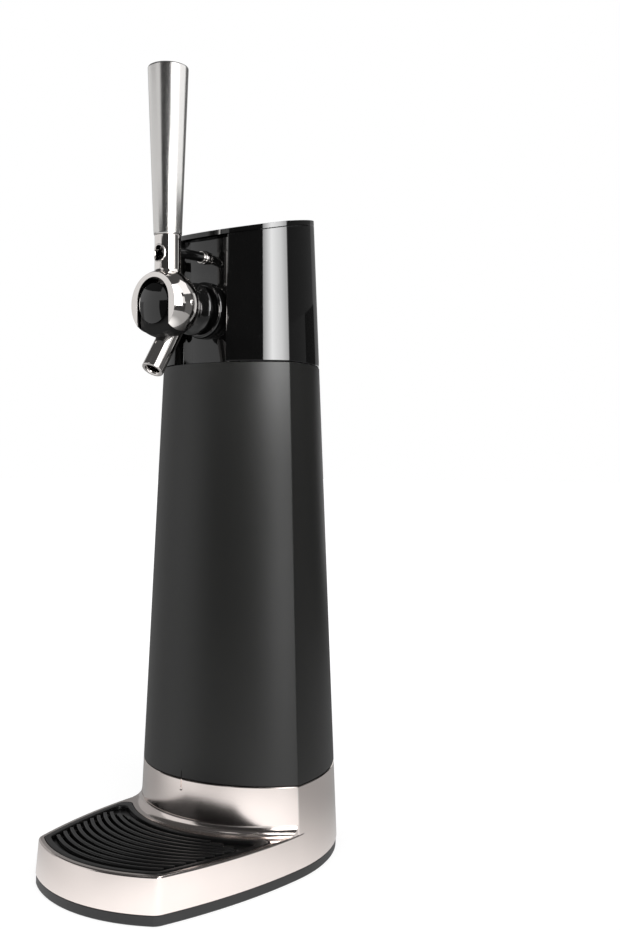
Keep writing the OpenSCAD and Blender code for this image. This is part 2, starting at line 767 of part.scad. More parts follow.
module front_disc() color(gloss_black) at_ball() translate([0, -disc_front, 0]) rotate([-90, 0, 0])
    rotate_extrude() polygon([
        [0, 0], [disc_d / 2 - 0.8, 0], [disc_d / 2, 0.8], [disc_d / 2, disc_t], [0, disc_t]]);

module spout() color(chrome) at_ball() at_spout() difference() {
    rotate_extrude() polygon([
        [0, 0], [spout_d / 2 - 0.7, 0], [spout_d / 2, 0.7], [spout_d / 2, spout_len], [0, spout_len]]);
    translate([0, 0, -1]) cylinder(d = spout_bore, h = spout_len + 2);
    translate([0, 0, -0.01]) cylinder(r1 = spout_bore / 2 + 1, r2 = spout_bore / 2, h = 1);
}

module rod_bush() color(chrome) at_ball() translate([0, tap_reach, rod_rise]) difference() {
    union() {
        translate([0, -bush_flange_t, 0]) along_y(bush_flange_r, bush_flange_t);
        along_y(rod_hole_r, fascia_t + bush_tail);
    }
    translate([0, -bush_flange_t - 1, 0])
        along_y(rod_d / 2 + fit, fascia_t + bush_tail + bush_flange_t + 2);
}

// Tap lever
rod_ball_r = neck_bore / 2 - 0.7;
hole_w = 5.9;
hole_back_w = rod_d + 2 * gap;
hole_h = 12;
hole_up = 1.1;
rod_room = 7;
bore_low = rod_rise - rod_room;
stud_low = rod_rise + rod_room;
stud_r = 4;
stud_up = 17;
root_r = 1.6;

// Upright slot with round ends, along +Y
module tall_slot(w, h, len) {
    for (s = [-1, 1]) translate([0, 0, s * (h - w) / 2]) along_y(w / 2, len);
    translate([-w / 2, 0, -(h - w) / 2]) cube([w, len, h - w]);
}

module lever_yoke() color(chrome) at_ball() difference() {
    union() {
        sphere(d = ball_d);
        translate([0, neck_back, 0]) cylinder(d = neck_d, h = neck_top);
        translate([0, neck_back, 0]) rotate_extrude() polygon([
            [0, 0], [neck_d / 2 + root_r, 0], [neck_d / 2 + root_r, ball_d / 2 - 2 * root_r],
            [neck_d / 2 + root_r / 3, ball_d / 2 - root_r], [neck_d / 2, ball_d / 2], [0, ball_d / 2]]);
    }
    for (z = [slot_up, -slot_down]) translate([0, -ball_d, z]) along_y(slot_w / 2, 2 * ball_d);
    translate([-slot_w / 2, -ball_d, -slot_down]) cube([slot_w, 2 * ball_d, slot_up + slot_down]);
    translate([-ball_d, -2 * ball_d - ball_face, -ball_d]) cube([2 * ball_d, 2 * ball_d, 2 * ball_d]);
    translate([0, neck_back, bore_low]) cylinder(d = neck_bore, h = neck_top);
    translate([0, neck_back, rod_rise + hole_up]) tall_slot(hole_back_w, hole_h, neck_d);
    translate([0, neck_back - neck_d, rod_rise + hole_up]) tall_slot(hole_w, hole_h - 1, neck_d);
    translate([0, neck_back, 0]) along_x(pin_d / 2 + fit / 2, 2 * ball_d);
}

// Pins from the ball's surface into the core
pin_in = 7;
pin_dome = 0.5;
pin_len = sqrt(ball_d * ball_d / 4 - neck_back * neck_back) + pin_dome - pin_in;
module pivot_pins() color(steel) at_ball() for (s = [0, 1]) mirror([s, 0, 0])
    translate([pin_in, neck_back, 0]) rotate([0, 90, 0]) rotate_extrude() polygon([
        [0, 0], [pin_d / 2, 0], [pin_d / 2, pin_len - pin_dome], [pin_d / 4, pin_len], [0, pin_len]]);

handle_edge = 1.2;
handle_dome = 0.8;
module tap_handle() color([0.74, 0.74, 0.73]) at_ball() translate([0, neck_back, neck_top]) difference() {
    rotate_extrude() polygon([
        [0, 0], [handle_low_d / 2 - handle_edge / 2, 0], [handle_low_d / 2, handle_edge / 2],
        [handle_top_d / 2, handle_len - handle_edge], [handle_top_d / 2 - handle_edge, handle_len],
        [handle_top_d / 4, handle_len + handle_dome * 0.75], [0, handle_len + handle_dome]]);
    translate([0, 0, -1]) cylinder(r = stud_r + fit, h = stud_up + 2);
}

module handle_stud() color(steel) at_ball() translate([0, neck_back, 0]) {
    translate([0, 0, stud_low]) cylinder(d = neck_bore - 2 * fit, h = neck_top - stud_low);
    translate([0, 0, neck_top - 1]) cylinder(r = stud_r, h = stud_up + 1);
}

// Push rod with its magnet and spring
spring_room = 15;
magnet_y = tap_reach + fascia_t + bush_tail + spring_room;
magnet_r = 5;
magnet_t = 4;
spring_turns = 4;
spring_wire = 0.8;
spring_r = rod_d / 2 + 1;
spring_from = tap_reach + fascia_t + bush_tail + spring_wire;
spring_to = magnet_y - spring_wire;

module push_rod() color(soft_black) at_ball() translate([0, neck_back, rod_rise]) {
    sphere(r = rod_ball_r);
    along_y(rod_d / 2, magnet_y - neck_back);
}

module rod_magnet() color(steel)
    at_ball() translate([0, magnet_y, rod_rise]) along_y(magnet_r, magnet_t);

// One tube of six sides along a helix about +Y
rings_a_turn = 8;
spring_sides = 6;
spring_rings = spring_turns * rings_a_turn;
spring_pitch = (spring_to - spring_from) / spring_turns;
function spring_point(i, s) =
    let (t = 360 * i / rings_a_turn, a = 360 * s / spring_sides)
    let (r = spring_r + spring_wire / 2 * cos(a))
    [r * cos(t), spring_from + spring_pitch * i / rings_a_turn + spring_wire / 2 * sin(a), r * sin(t)];
spring_points = [for (i = [0:spring_rings]) for (s = [0:spring_sides - 1]) spring_point(i, s)];
spring_self_gap = spring_pitch - spring_wire;
echo(spring_self_gap = spring_self_gap);

module return_spring() color(steel) at_ball() translate([0, 0, rod_rise]) {
    n = spring_sides;
    last = spring_rings * n;
    polyhedron(points = spring_points, faces = concat(
        [for (s = [1:n - 2]) [0, s + 1, s]],
        [for (i = [0:spring_rings - 1]) for (s = [0:n - 1])
            let (a = i * n + s, b = i * n + (s + 1) % n)
            each [[a, b, b + n], [a, b + n, a + n]]],
        [for (s = [1:n - 2]) [last, last + s, last + s + 1]]));
}

sensor_size = [16, 12, 1.6];
sensor_gap = 3;
sensor_chip = [4, 3, 1.3];
module rod_sensor() color([0.1, 0.35, 0.2])
    at_ball() translate([0, tap_reach + fascia_t, rod_rise - magnet_r - sensor_gap - sensor_size[2]]) {
        translate([-sensor_size[0] / 2, 0, 0]) cube(sensor_size);
        translate([-sensor_chip[0] / 2, sensor_size[1] - 2 * sensor_chip[1], sensor_size[2] - board_in])
            cube(sensor_chip);
    }

// Lines inside the head
hose_wall = 1.4;
module beer_hose() color([0.8, 0.82, 0.84]) at_ball() {
    start = tail_y + gap;
    down = ball_rise - hose_bend;
    difference() {
        translate([0, start, 0]) along_y(hose_d / 2, tail_nipple - gap);
        translate([0, start - 1, 0]) along_y(hose_d / 2 - hose_wall, tail_nipple + 2);
    }
    translate([0, tail_y + tail_nipple, -hose_bend]) rotate([0, -90, 0])
        rotate_extrude(angle = 90) translate([hose_bend, 0]) difference() {
            circle(r = hose_d / 2);
            circle(r = hose_d / 2 - hose_wall);
        }
    difference() {
        translate([0, tail_y + tail_nipple + hose_bend, -ball_rise]) cylinder(r = hose_d / 2, h = down);
        translate([0, tail_y + tail_nipple + hose_bend, -ball_rise - 1])
            cylinder(r = hose_d / 2 - hose_wall, h = down + 2);
    }
}

// Air pump, standing on the bulkhead
pump_h = 18;
motor_r = 11;
motor_h = 30;
air_port_z = air_up + air_bend + gap;

module pump_head() color([0.2, 0.2, 0.22]) translate([pump_x, tower_y + pump_y, head_z]) difference() {
    translate([-pump_w / 2, -pump_w / 2, 0]) cube([pump_w, pump_w, pump_h]);
    translate([-pump_w / 2 - 1, air_at[1] - pump_y, air_port_z]) rotate([0, 90, 0])
        cylinder(r = air_r / 2, h = pump_w / 3);
}

module pump_motor() color(steel) translate([pump_x, tower_y + pump_y, head_z + pump_h])
    cylinder(r = motor_r, h = motor_h);

module air_hose() color([0.8, 0.82, 0.84]) translate([air_at[0], tower_y + air_at[1], head_z]) {
    difference() {
        cylinder(r = air_hose_r, h = air_port_z - air_bend);
        translate([0, 0, -1]) cylinder(r = air_r + fit, h = air_port_z + 2);
    }
    translate([air_bend, 0, air_port_z - air_bend]) rotate([90, 0, 0]) rotate([0, 0, 90])
        rotate_extrude(angle = 90) translate([air_bend, 0]) difference() {
            circle(r = air_hose_r);
            circle(r = air_r + fit);
        }
}

// Electronics on the left, standing in the bulkhead
board_room = 9;
board_size = [1.6, 34, 44];
board_x = boss_r + board_room - boss_back[0];
board_y = -21;
board_in = 0.1;
chip_size = [2.2, 10, 10];
coil_size = [6, 7, 9];
plug_size = [4, 9, 6];
module control_board() color([0.1, 0.35, 0.2]) translate([board_x, tower_y + board_y, head_z]) {
    cube(board_size);
    translate([board_size[0] - board_in, 0, 0]) {
        translate([0, chip_size[1] / 2, chip_size[2]]) cube(chip_size);
        translate([0, board_size[1] - 2 * coil_size[1], board_size[2] - 2 * coil_size[2]]) cube(coil_size);
        translate([0, plug_size[1] / 2, board_size[2] - 2 * plug_size[2]]) cube(plug_size);
    }
}

// Batteries across the head, under the cap
module battery_holder() color(soft_black) translate([0, tower_y + holder_y, holder_z]) difference() {
    translate([-holder_len / 2, 0, 0]) cube([holder_len, holder_w, cell_d + holder_wall - holder_cut]);
    translate([holder_wall - holder_len / 2, holder_wall, holder_wall])
        cube([holder_len - 2 * holder_wall, holder_w - 2 * holder_wall, cell_d]);
}

module cells() {
    for (i = [0, 1])
        translate([0, tower_y + holder_y + holder_wall + (cell_gap + cell_d) / 2 + i * (cell_d + cell_gap),
                   holder_z + holder_wall + cell_d / 2])
            children();
}

contact_size = [0.8, 8, 10];
contact_r = 2;
cell_play = 0.2;
module battery_contacts() color(steel) cells() for (s = [0, 1]) mirror([s, 0, 0])
    translate([holder_len / 2 - holder_wall - contact_size[0], 0, 0]) {
        translate([0, -contact_size[1] / 2, -contact_size[2] / 2]) cube(contact_size);
        translate([contact_size[0] / 2, 0, 0]) rotate([0, -90, 0])
            cylinder(r = contact_r, h = contact_room - contact_size[0] / 2);
    }

module batteries() color([0.3, 0.3, 0.32]) cells() along_x(cell_d / 2, cell_len - 2 * cell_play);

bottom_plate();
rubber_feet();
base_screws();
base_housing();
container_rest();
rest_pad();
base_seal();
drip_pan();
drip_grille();
body_shell();
chamber_tube();
tube_seal();
bulkhead();
dip_tube();
head_screws();
head_shell();
head_cap();
tap_fascia();
tap_shank();
shank_flange();
shank_nut();
foam_transducer();
tap_core();
front_disc();
spout();
rod_bush();
lever_yoke();
pivot_pins();
tap_handle();
handle_stud();
push_rod();
rod_magnet();
return_spring();
rod_sensor();
beer_hose();
air_hose();
pump_head();
pump_motor();
control_board();
battery_holder();
battery_contacts();
batteries();
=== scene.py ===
# Looks of a home beer dispenser: a matte tower on a silver base with a drip tray, and a chrome tap.
# Metres, +Z up, -Y to the person who pours. The file follows the order in which the dispenser is built.
import math

import bmesh
import bpy
from mathutils import Matrix, Vector


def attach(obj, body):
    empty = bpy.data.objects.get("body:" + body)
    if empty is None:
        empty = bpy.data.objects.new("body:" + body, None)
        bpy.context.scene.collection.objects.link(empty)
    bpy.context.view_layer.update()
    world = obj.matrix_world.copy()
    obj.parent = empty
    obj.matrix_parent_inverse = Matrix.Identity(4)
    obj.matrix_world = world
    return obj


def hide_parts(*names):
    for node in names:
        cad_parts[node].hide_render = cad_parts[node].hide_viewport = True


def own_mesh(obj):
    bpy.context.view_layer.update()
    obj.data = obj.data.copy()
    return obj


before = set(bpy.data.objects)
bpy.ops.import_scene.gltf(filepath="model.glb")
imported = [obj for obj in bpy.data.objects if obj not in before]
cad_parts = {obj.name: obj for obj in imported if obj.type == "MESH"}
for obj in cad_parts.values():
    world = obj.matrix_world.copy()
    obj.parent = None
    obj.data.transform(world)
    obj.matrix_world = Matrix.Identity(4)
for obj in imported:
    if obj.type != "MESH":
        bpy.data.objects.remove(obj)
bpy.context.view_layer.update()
scene = bpy.context.scene
scene.view_settings.view_transform = "Standard"


# Camera
# It stands to the right of the tap at the height of the tower's middle and looks almost level,
# so the deck is seen from above and the tap from a little below.
LENS_PIXELS = 1118.74
PICTURE_HEIGHT = 930
SENSOR_HEIGHT = 36.0
NEAR_CLIP = 0.02
VIEW_TURN = math.radians(38.308)
VIEW_DOWN = math.radians(0.206)
VIEW_ROLL = math.radians(0.178)
CAMERA_PLACE = (0.49426, -0.51516, 0.25465)

camera_data = bpy.data.cameras.new("camera")
camera_data.sensor_fit = "VERTICAL"
camera_data.sensor_height = SENSOR_HEIGHT
camera_data.lens = LENS_PIXELS * SENSOR_HEIGHT / PICTURE_HEIGHT
camera_data.clip_start = NEAR_CLIP
camera = bpy.data.objects.new("camera", camera_data)
ahead = Vector((-math.sin(VIEW_TURN) * math.cos(VIEW_DOWN), math.cos(VIEW_TURN) * math.cos(VIEW_DOWN),
                -math.sin(VIEW_DOWN)))
level = Vector((math.cos(VIEW_TURN), math.sin(VIEW_TURN), 0))
upright = level.cross(ahead)
right = level * math.cos(VIEW_ROLL) + upright * math.sin(VIEW_ROLL)
above = right.cross(ahead)
camera.matrix_world = Matrix((right, above, -ahead)).transposed().to_4x4()
camera.matrix_world.translation = CAMERA_PLACE
scene.collection.objects.link(camera)
scene.camera = camera


# Studio
# A white floor and white surroundings, soft boxes on the right, on the left and above, and curved
# cards round the dispenser, dark and bright, that only mirrors see.
FLOOR_HALF, FLOOR_GREY = 12.0, 0.3
FLOOR_NEAR, FLOOR_FAR, FLOOR_LEAST = 0.25, 0.9, 0.8
LIT_SPOT, LIT_REACH, LIT_NEAR, LIT_FAR = (0.12, -0.13, 0), 0.36, 1.15, 0.13
DIM_SPOT, DIM_REACH, DIM_NEAR = (-0.26, -0.3, 0), 0.28, 0.72
ROOM_LIGHT = 0.45
FLAG_RADIUS, PANEL_RADIUS, PANEL_STEP = 0.9, 2.0, 0.05
WINDOW_RADIUS, WINDOW_Y = 0.2, -0.031
CARD_STEPS = 8
CEILING_X, CEILING_Y, CEILING_Z, CEILING_LIGHT = 4.0, 4.5, 2.0, 0.07
TOWER_Y = 0.044874
AIM_HEIGHT = 0.3


def polygons(name, points, faces):
    mesh = bpy.data.meshes.new(name)
    mesh.from_pydata([tuple(p) for p in points], [], faces)
    mesh.update()
    piece = bpy.data.objects.new(name, mesh)
    scene.collection.objects.link(piece)
    return piece


def add_node(tree, kind, inputs=None, **settings):
    """A new node with its properties set, and its inputs set to values or linked to sockets."""
    node = tree.nodes.new(kind)
    for key, value in settings.items():
        setattr(node, key, value)
    for key, value in (inputs or {}).items():
        if isinstance(value, bpy.types.NodeSocket):
            tree.links.new(value, node.inputs[key])
        else:
            node.inputs[key].default_value = value
    return node


def math_node(tree, operation, *values):
    return add_node(tree, "ShaderNodeMath", dict(enumerate(values)), operation=operation).outputs[0]


def empty_tree(owner):
    owner.use_nodes = True
    owner.node_tree.nodes.clear()
    return owner.node_tree


def seen_directly(tree):
    """One for what is seen straight, in a mirror or through something clear, and nought for the rest."""
    path = add_node(tree, "ShaderNodeLightPath").outputs
    mirrored = math_node(tree, "MAXIMUM", path["Is Camera Ray"], path["Is Glossy Ray"])
    return math_node(tree, "MAXIMUM", mirrored, path["Is Transmission Ray"])


def fade_from(tree, coords, spot, near, far, near_level, far_level):
    """A level that eases from one value to another with the distance from a spot."""
    distance = add_node(tree, "ShaderNodeVectorMath", {0: coords, 1: spot}, operation="DISTANCE")
    fade = add_node(tree, "ShaderNodeMapRange", {
        "Value": distance.outputs["Value"], "From Min": near, "From Max": far,
        "To Min": near_level, "To Max": far_level}, interpolation_type="SMOOTHSTEP")
    return fade.outputs[0]


def flat_corners(half_x, half_y, z):
    return [(-half_x, -half_y, z), (half_x, -half_y, z), (half_x, half_y, z), (-half_x, half_y, z)]


floor_paint = bpy.data.materials.new("white floor")
tree = empty_tree(floor_paint)
coords = add_node(tree, "ShaderNodeTexCoord").outputs["Object"]
to_eye = fade_from(tree, coords, (0, 0, 0), FLOOR_NEAR, FLOOR_FAR, FLOOR_LEAST, 1)
# For mirrors the floor glows as a painted pool of light at the front right and a weaker painted pool at the
# front left, and is dimmer further out.
lit_side = fade_from(tree, coords, LIT_SPOT, 0, LIT_REACH, LIT_NEAR, LIT_FAR)
dim_side = fade_from(tree, coords, DIM_SPOT, 0, DIM_REACH, DIM_NEAR, 0)
by_eye = add_node(tree, "ShaderNodeMix", {
    "Factor": add_node(tree, "ShaderNodeLightPath").outputs["Is Camera Ray"],
    "A": math_node(tree, "ADD", lit_side, dim_side), "B": to_eye})
lift = math_node(tree, "MULTIPLY", by_eye.outputs["Result"], seen_directly(tree))
white = add_node(tree, "ShaderNodeEmission", {"Strength": lift})
matte = add_node(tree, "ShaderNodeBsdfDiffuse", {"Color": (FLOOR_GREY, FLOOR_GREY, FLOOR_GREY, 1)})
both = add_node(tree, "ShaderNodeAddShader", {0: white.outputs[0], 1: matte.outputs[0]})
add_node(tree, "ShaderNodeOutputMaterial", {"Surface": both.outputs[0]})
floor = polygons("floor", flat_corners(FLOOR_HALF, FLOOR_HALF, 0), [(0, 1, 2, 3)])
floor.data.materials.append(floor_paint)

world = bpy.data.worlds.new("white room")
scene.world = world
tree = empty_tree(world)
strength = add_node(tree, "ShaderNodeMapRange", {
    "Value": seen_directly(tree), "To Min": ROOM_LIGHT, "To Max": 1})
sky = add_node(tree, "ShaderNodeBackground", {"Color": (1, 1, 1, 1), "Strength": strength.outputs[0]})
add_node(tree, "ShaderNodeOutputWorld", {"Surface": sky.outputs[0]})


def around(turn, radius, height):
    angle = math.radians(turn)
    return Vector((radius * math.sin(angle), TOWER_Y - radius * math.cos(angle), height))


def card(name, turns, heights, light, radius, axis_y=TOWER_Y):
    """An upright curved card that only mirrors see, of one light or of several from turn to turn."""
    lights = light if isinstance(light, tuple) else (light, light)
    steps = CARD_STEPS * (len(lights) - 1)
    shift = Vector((0, axis_y - TOWER_Y, 0))
    points = [around(turns[0] + (turns[1] - turns[0]) * i / steps, radius, z) + shift
              for z in heights for i in range(steps + 1)]
    row = []
    for before, after in zip(lights, lights[1:]):
        row += [before + (after - before) * i / CARD_STEPS for i in range(CARD_STEPS)]
    row.append(lights[-1])
    glow_card(name, points, [(i, i + 1, i + steps + 2, i + steps + 1) for i in range(steps)], row + row)


def glow_card(name, points, faces, lights):
    """A card that glows with the light given for each of its points."""
    piece = polygons(name, points, faces)
    piece.data.attributes.new("light", "FLOAT", "POINT").data.foreach_set("value", lights)
    paint = bpy.data.materials.new(name)
    tree = empty_tree(paint)
    light = add_node(tree, "ShaderNodeAttribute", attribute_name="light")
    glow = add_node(tree, "ShaderNodeEmission", {"Strength": light.outputs["Fac"]})
    add_node(tree, "ShaderNodeOutputMaterial", {"Surface": glow.outputs[0]})
    piece.data.materials.append(paint)
    piece.visible_camera = False
    piece.visible_diffuse = False
    piece.visible_shadow = False


card("front_flag", (-25, 44), (0, 0.5), 0.03, FLAG_RADIUS)
card("left_flag", (-62, -25), (0, 0.5), 0.8, FLAG_RADIUS)
card("far_left_flag", (-110, -62), (0, 0.5), 0.4, FLAG_RADIUS)
card("crease_flag", (44, 66), (0, 0.42), 4.2, FLAG_RADIUS)
card("sill_flag", (66, 112), (0, 0.4), 0.05, FLAG_RADIUS)
card("side_flag", (112, 164), (0, 0.5), 0.13, FLAG_RADIUS)
card("back_flag", (164, 188), (0, 0.5), 0.03, FLAG_RADIUS)
card("left_panel", (-110, -28), (0.6, 0.7), 0.85, PANEL_RADIUS)
card("left_screen", (-110, -10), (0.7, 1.13), 0.8, PANEL_RADIUS)
card("front_panel", (-28, 58), (0.6, 1.7), 0.04, PANEL_RADIUS + PANEL_STEP)
card("side_panel", (112, 188), (0.6, 1.7), 0.1, PANEL_RADIUS)
card("rear_panel", (188, 215), (0, 0.5), 0.95, PANEL_RADIUS)
card("rear_screen", (188, 215), (0.5, 1.7), 0.22, PANEL_RADIUS)
card("far_panel", (215, 250), (0, 1.7), 0.25, PANEL_RADIUS)
card("left_window", (-25, 2), (0.43, 0.6), 0.8, WINDOW_RADIUS, WINDOW_Y)
card("low_window", (53.5, 101), (0.33, 0.47), (5.0, 14.5, 11.0, 4.0, 3.0), WINDOW_RADIUS, WINDOW_Y)
card("high_window", (65, 110), (0.47, 0.68), (2.4, 3.4, 2.4, 1.6), WINDOW_RADIUS, WINDOW_Y)
card("side_window", (110, 160), (0.45, 0.68), 1.2, WINDOW_RADIUS, WINDOW_Y)
glow_card("ceiling", flat_corners(CEILING_X, CEILING_Y, CEILING_Z), [(0, 1, 2, 3)], [CEILING_LIGHT] * 4)


def soft_box(name, turn, radius, height, size, watts):
    lamp = bpy.data.lights.new(name, "AREA")
    lamp.shape = "RECTANGLE"
    lamp.size, lamp.size_y = size
    lamp.energy = watts
    holder = bpy.data.objects.new(name, lamp)
    place = around(turn, radius, height)
    aim = Vector((0, TOWER_Y, AIM_HEIGHT))
    holder.matrix_world = (aim - place).to_track_quat("-Z", "Y").to_matrix().to_4x4()
    holder.matrix_world.translation = place
    holder.visible_camera = False
    holder.visible_glossy = False
    scene.collection.objects.link(holder)


soft_box("right_box", 62, 1.35, 0.95, (1.05, 1.1), 14)
soft_box("left_box", -75, 1.5, 0.8, (1.3, 1.5), 5)
soft_box("top_box", 20, 0.3, 1.7, (1.2, 1.2), 4)


# Bottom plate
# The black floor of the base, moulded in plastic with a fine grain. Its edge shows as a thin strip
# below the silver skirt, a little set back from it, and four screws hold it from below.
SEAM_Z = 0.0563
BODY_HEIGHT = 0.260
TOP_SCALE = 0.817
CREASE_X = 0.1344 / 2
CREASE_FRONT = 0.0298
FRONT_BULGE = 0.033
SIDE_RADIUS = 0.106
SIDE_TURN = math.radians(40)
CREASE_RADIUS = 0.002
WALL = 0.0026
FOOT_HEIGHT = 0.0063
NOSE_REACH = 0.1499
NOSE_RADIUS = 0.0945
NOSE_WIDTH = 0.1055
CORNER_RADIUS = 0.009
FEET_PROUD = 0.0003
PLATE_FLOOR = 0.0034
SHARP_ANGLE, ROUND_ANGLE = 30, 60
FACE_WEIGHT = 100
CLOUD_SCALE, CLOUD_DETAIL, SPECK_DETAIL, GLOSS_SHIFT = 45.0, 4.0, 2.0, 0.15
STRIP_INSET, STRIP_TOP_INSET, STRIP_BEVEL = 0.0008, 0.0004, 0.0005
STRIP_WALL = WALL + 0.0015
LEAST_RADIUS = 0.0005
NOSE_STEPS, CORNER_STEPS, FLANK_STEPS, SIDE_STEPS, REAR_STEPS = 40, 18, 23, 24, 30

FRONT_REACH = CREASE_FRONT + FRONT_BULGE
FRONT_RADIUS = (CREASE_X ** 2 + FRONT_BULGE ** 2) / (2 * FRONT_BULGE)
FRONT_CENTRE = Vector((0, FRONT_RADIUS - FRONT_REACH))
SIDE_CENTRE = Vector((CREASE_X - SIDE_RADIUS, -CREASE_FRONT))
REAR_RADIUS = SIDE_RADIUS - (SIDE_RADIUS - CREASE_X) / math.cos(SIDE_TURN)
REAR_CENTRE = Vector((0, (SIDE_RADIUS - REAR_RADIUS) * math.sin(SIDE_TURN) - CREASE_FRONT))


def taper(z):
    return 1 - (1 - TOP_SCALE) * (z - SEAM_Z) / BODY_HEIGHT


FOOT_SCALE = taper(FOOT_HEIGHT)
NOSE_CENTRE = Vector((0, NOSE_RADIUS - NOSE_REACH))
NOSE_CORNER = Vector((NOSE_WIDTH / 2, NOSE_CENTRE.y - math.sqrt(NOSE_RADIUS ** 2 - NOSE_WIDTH ** 2 / 4)))
FLANK_END = FOOT_SCALE * Vector((CREASE_X, -CREASE_FRONT))
FLANK_RADIUS = (FLANK_END - NOSE_CORNER).length_squared / (2 * (FLANK_END.x - NOSE_CORNER.x))
FLANK_CENTRE = FLANK_END - Vector((FLANK_RADIUS, 0))


def bearing(centre, point):
    return math.atan2(point.y - centre.y, point.x - centre.x)


def inner_tangent(first, first_radius, second, second_radius, radius):
    """Centre of a circle that touches two others from inside, on their right-hand side."""
    apart = (second - first).length
    along = (second - first) / apart
    a, b = first_radius - radius, second_radius - radius
    t = (a * a - b * b + apart * apart) / (2 * apart)
    return first + t * along + math.sqrt(a * a - t * t) * Vector((-along.y, along.x))


def arc(centre, radius, start, end, steps):
    """Points of an arc after its first one."""
    turns = [start + (end - start) * i / steps for i in range(1, steps + 1)]
    return [centre + radius * Vector((math.cos(t), math.sin(t))) for t in turns]


def both_halves(half):
    return half + [Vector((-p.x, p.y)) for p in reversed(half[1:-1])]


def base_plan(inset, rear):
    radius = max(CORNER_RADIUS - inset, LEAST_RADIUS)
    corner = inner_tangent(NOSE_CENTRE, NOSE_RADIUS - inset, FLANK_CENTRE, FLANK_RADIUS - inset, radius)
    a, b = bearing(NOSE_CENTRE, corner), bearing(FLANK_CENTRE, corner)
    return both_halves(
        [NOSE_CENTRE - Vector((0, NOSE_RADIUS - inset))]
        + arc(NOSE_CENTRE, NOSE_RADIUS - inset, -math.pi / 2, a, NOSE_STEPS)
        + arc(corner, radius, a, b, CORNER_STEPS)
        + arc(FLANK_CENTRE, FLANK_RADIUS - inset, b, b / (FLANK_STEPS + 1), FLANK_STEPS)
        + arc(FOOT_SCALE * SIDE_CENTRE, FOOT_SCALE * SIDE_RADIUS - rear, 0, SIDE_TURN, SIDE_STEPS)
        + arc(FOOT_SCALE * REAR_CENTRE, FOOT_SCALE * REAR_RADIUS - rear, SIDE_TURN, math.pi / 2, REAR_STEPS))


def base_ring(z, inset=0.0, rear=None):
    k = taper(z) / FOOT_SCALE
    plan = base_plan(inset / k, (inset if rear is None else rear) / k)
    return [Vector((k * p.x, k * p.y + TOWER_Y, z)) for p in plan]


def skin(name, rings, loop=False):
    """Closed mesh through rings of equally many points: capped at both ends, or looped back."""
    n, m = len(rings[0]), len(rings)
    faces = []
    for k in range(m if loop else m - 1):
        low, high = k * n, (k + 1) % m * n
        faces += [(low + i, low + (i + 1) % n, high + (i + 1) % n, high + i) for i in range(n)]
    if not loop:
        faces += [tuple(reversed(range(n))), tuple(range((m - 1) * n, m * n))]
    piece = polygons(name, [p for ring in rings for p in ring], faces)
    body = bmesh.new()
    body.from_mesh(piece.data)
    if body.calc_volume(signed=True) < 0:
        bmesh.ops.reverse_faces(body, faces=body.faces)
        body.to_mesh(piece.data)
    body.free()
    return piece


def apply_steps(piece):
    """Turns a piece with its modifiers into a plain mesh."""
    mesh = bpy.data.meshes.new_from_object(piece.evaluated_get(bpy.context.evaluated_depsgraph_get()))
    piece.modifiers.clear()
    piece.data = mesh


def smooth(piece, degrees):
    """Soft shading with sharp edges kept, in which large faces outweigh the small ones of a rounding."""
    piece.data.shade_smooth()
    piece.data.set_sharp_from_angle(angle=math.radians(degrees))
    even = piece.modifiers.new("even shading", "WEIGHTED_NORMAL")
    even.weight = FACE_WEIGHT
    even.keep_sharp = True
    apply_steps(piece)


def moulded(name, colour, roughness, grain, depth, mottle=0.15, ior=1.5, metallic=0.0, stretch=None):
    """A moulded or plated surface: fine grain in relief, and slow shifts of tone and gloss."""
    material = bpy.data.materials.new(name)
    tree = empty_tree(material)
    place = add_node(tree, "ShaderNodeTexCoord").outputs["Object"]
    clouds = add_node(tree, "ShaderNodeTexNoise", {
        "Vector": place, "Scale": CLOUD_SCALE, "Detail": CLOUD_DETAIL}).outputs["Fac"]
    if stretch:
        place = add_node(tree, "ShaderNodeMapping", {"Vector": place, "Scale": stretch}).outputs[0]
    specks = add_node(tree, "ShaderNodeTexNoise", {
        "Vector": place, "Scale": 1 / grain, "Detail": SPECK_DETAIL}).outputs["Fac"]
    tone = add_node(tree, "ShaderNodeMix", {
        "Factor": clouds, "A": (*[c * (1 - mottle) for c in colour], 1),
        "B": (*[min(c * (1 + mottle), 1) for c in colour], 1)}, data_type="RGBA")
    gloss = add_node(tree, "ShaderNodeMapRange", {
        "Value": specks, "To Min": roughness * (1 - GLOSS_SHIFT), "To Max": roughness * (1 + GLOSS_SHIFT)})
    relief = add_node(tree, "ShaderNodeBump", {"Height": specks, "Strength": 1, "Distance": depth})
    surface = add_node(tree, "ShaderNodeBsdfPrincipled", {
        "Base Color": tone.outputs["Result"], "Roughness": gloss.outputs[0], "Normal": relief.outputs[0],
        "IOR": ior, "Metallic": metallic})
    add_node(tree, "ShaderNodeOutputMaterial", {"Surface": surface.outputs[0]})
    return material


def dress(material, *nodes):
    for node in nodes:
        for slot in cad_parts[node].material_slots:
            slot.material = material


def fit_piece(piece, material, body, node, degrees=SHARP_ANGLE):
    """Finishes a piece that stands for a CAD node."""
    smooth(piece, degrees)
    piece.data.materials.append(material)
    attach(piece, body)
    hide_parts(node)


bottom_plate = skin("foot_plate", [
    base_ring(FEET_PROUD, STRIP_INSET + STRIP_BEVEL), base_ring(FEET_PROUD + STRIP_BEVEL, STRIP_INSET),
    base_ring(FOOT_HEIGHT - STRIP_TOP_INSET, STRIP_TOP_INSET), base_ring(FOOT_HEIGHT, 2 * STRIP_TOP_INSET),
    base_ring(FOOT_HEIGHT, STRIP_WALL), base_ring(PLATE_FLOOR, STRIP_WALL)])
fit_piece(bottom_plate, moulded("foot plastic", (0.024, 0.024, 0.0245), 0.5, 0.0006, 0.00003),
          "base", "bottom_plate")


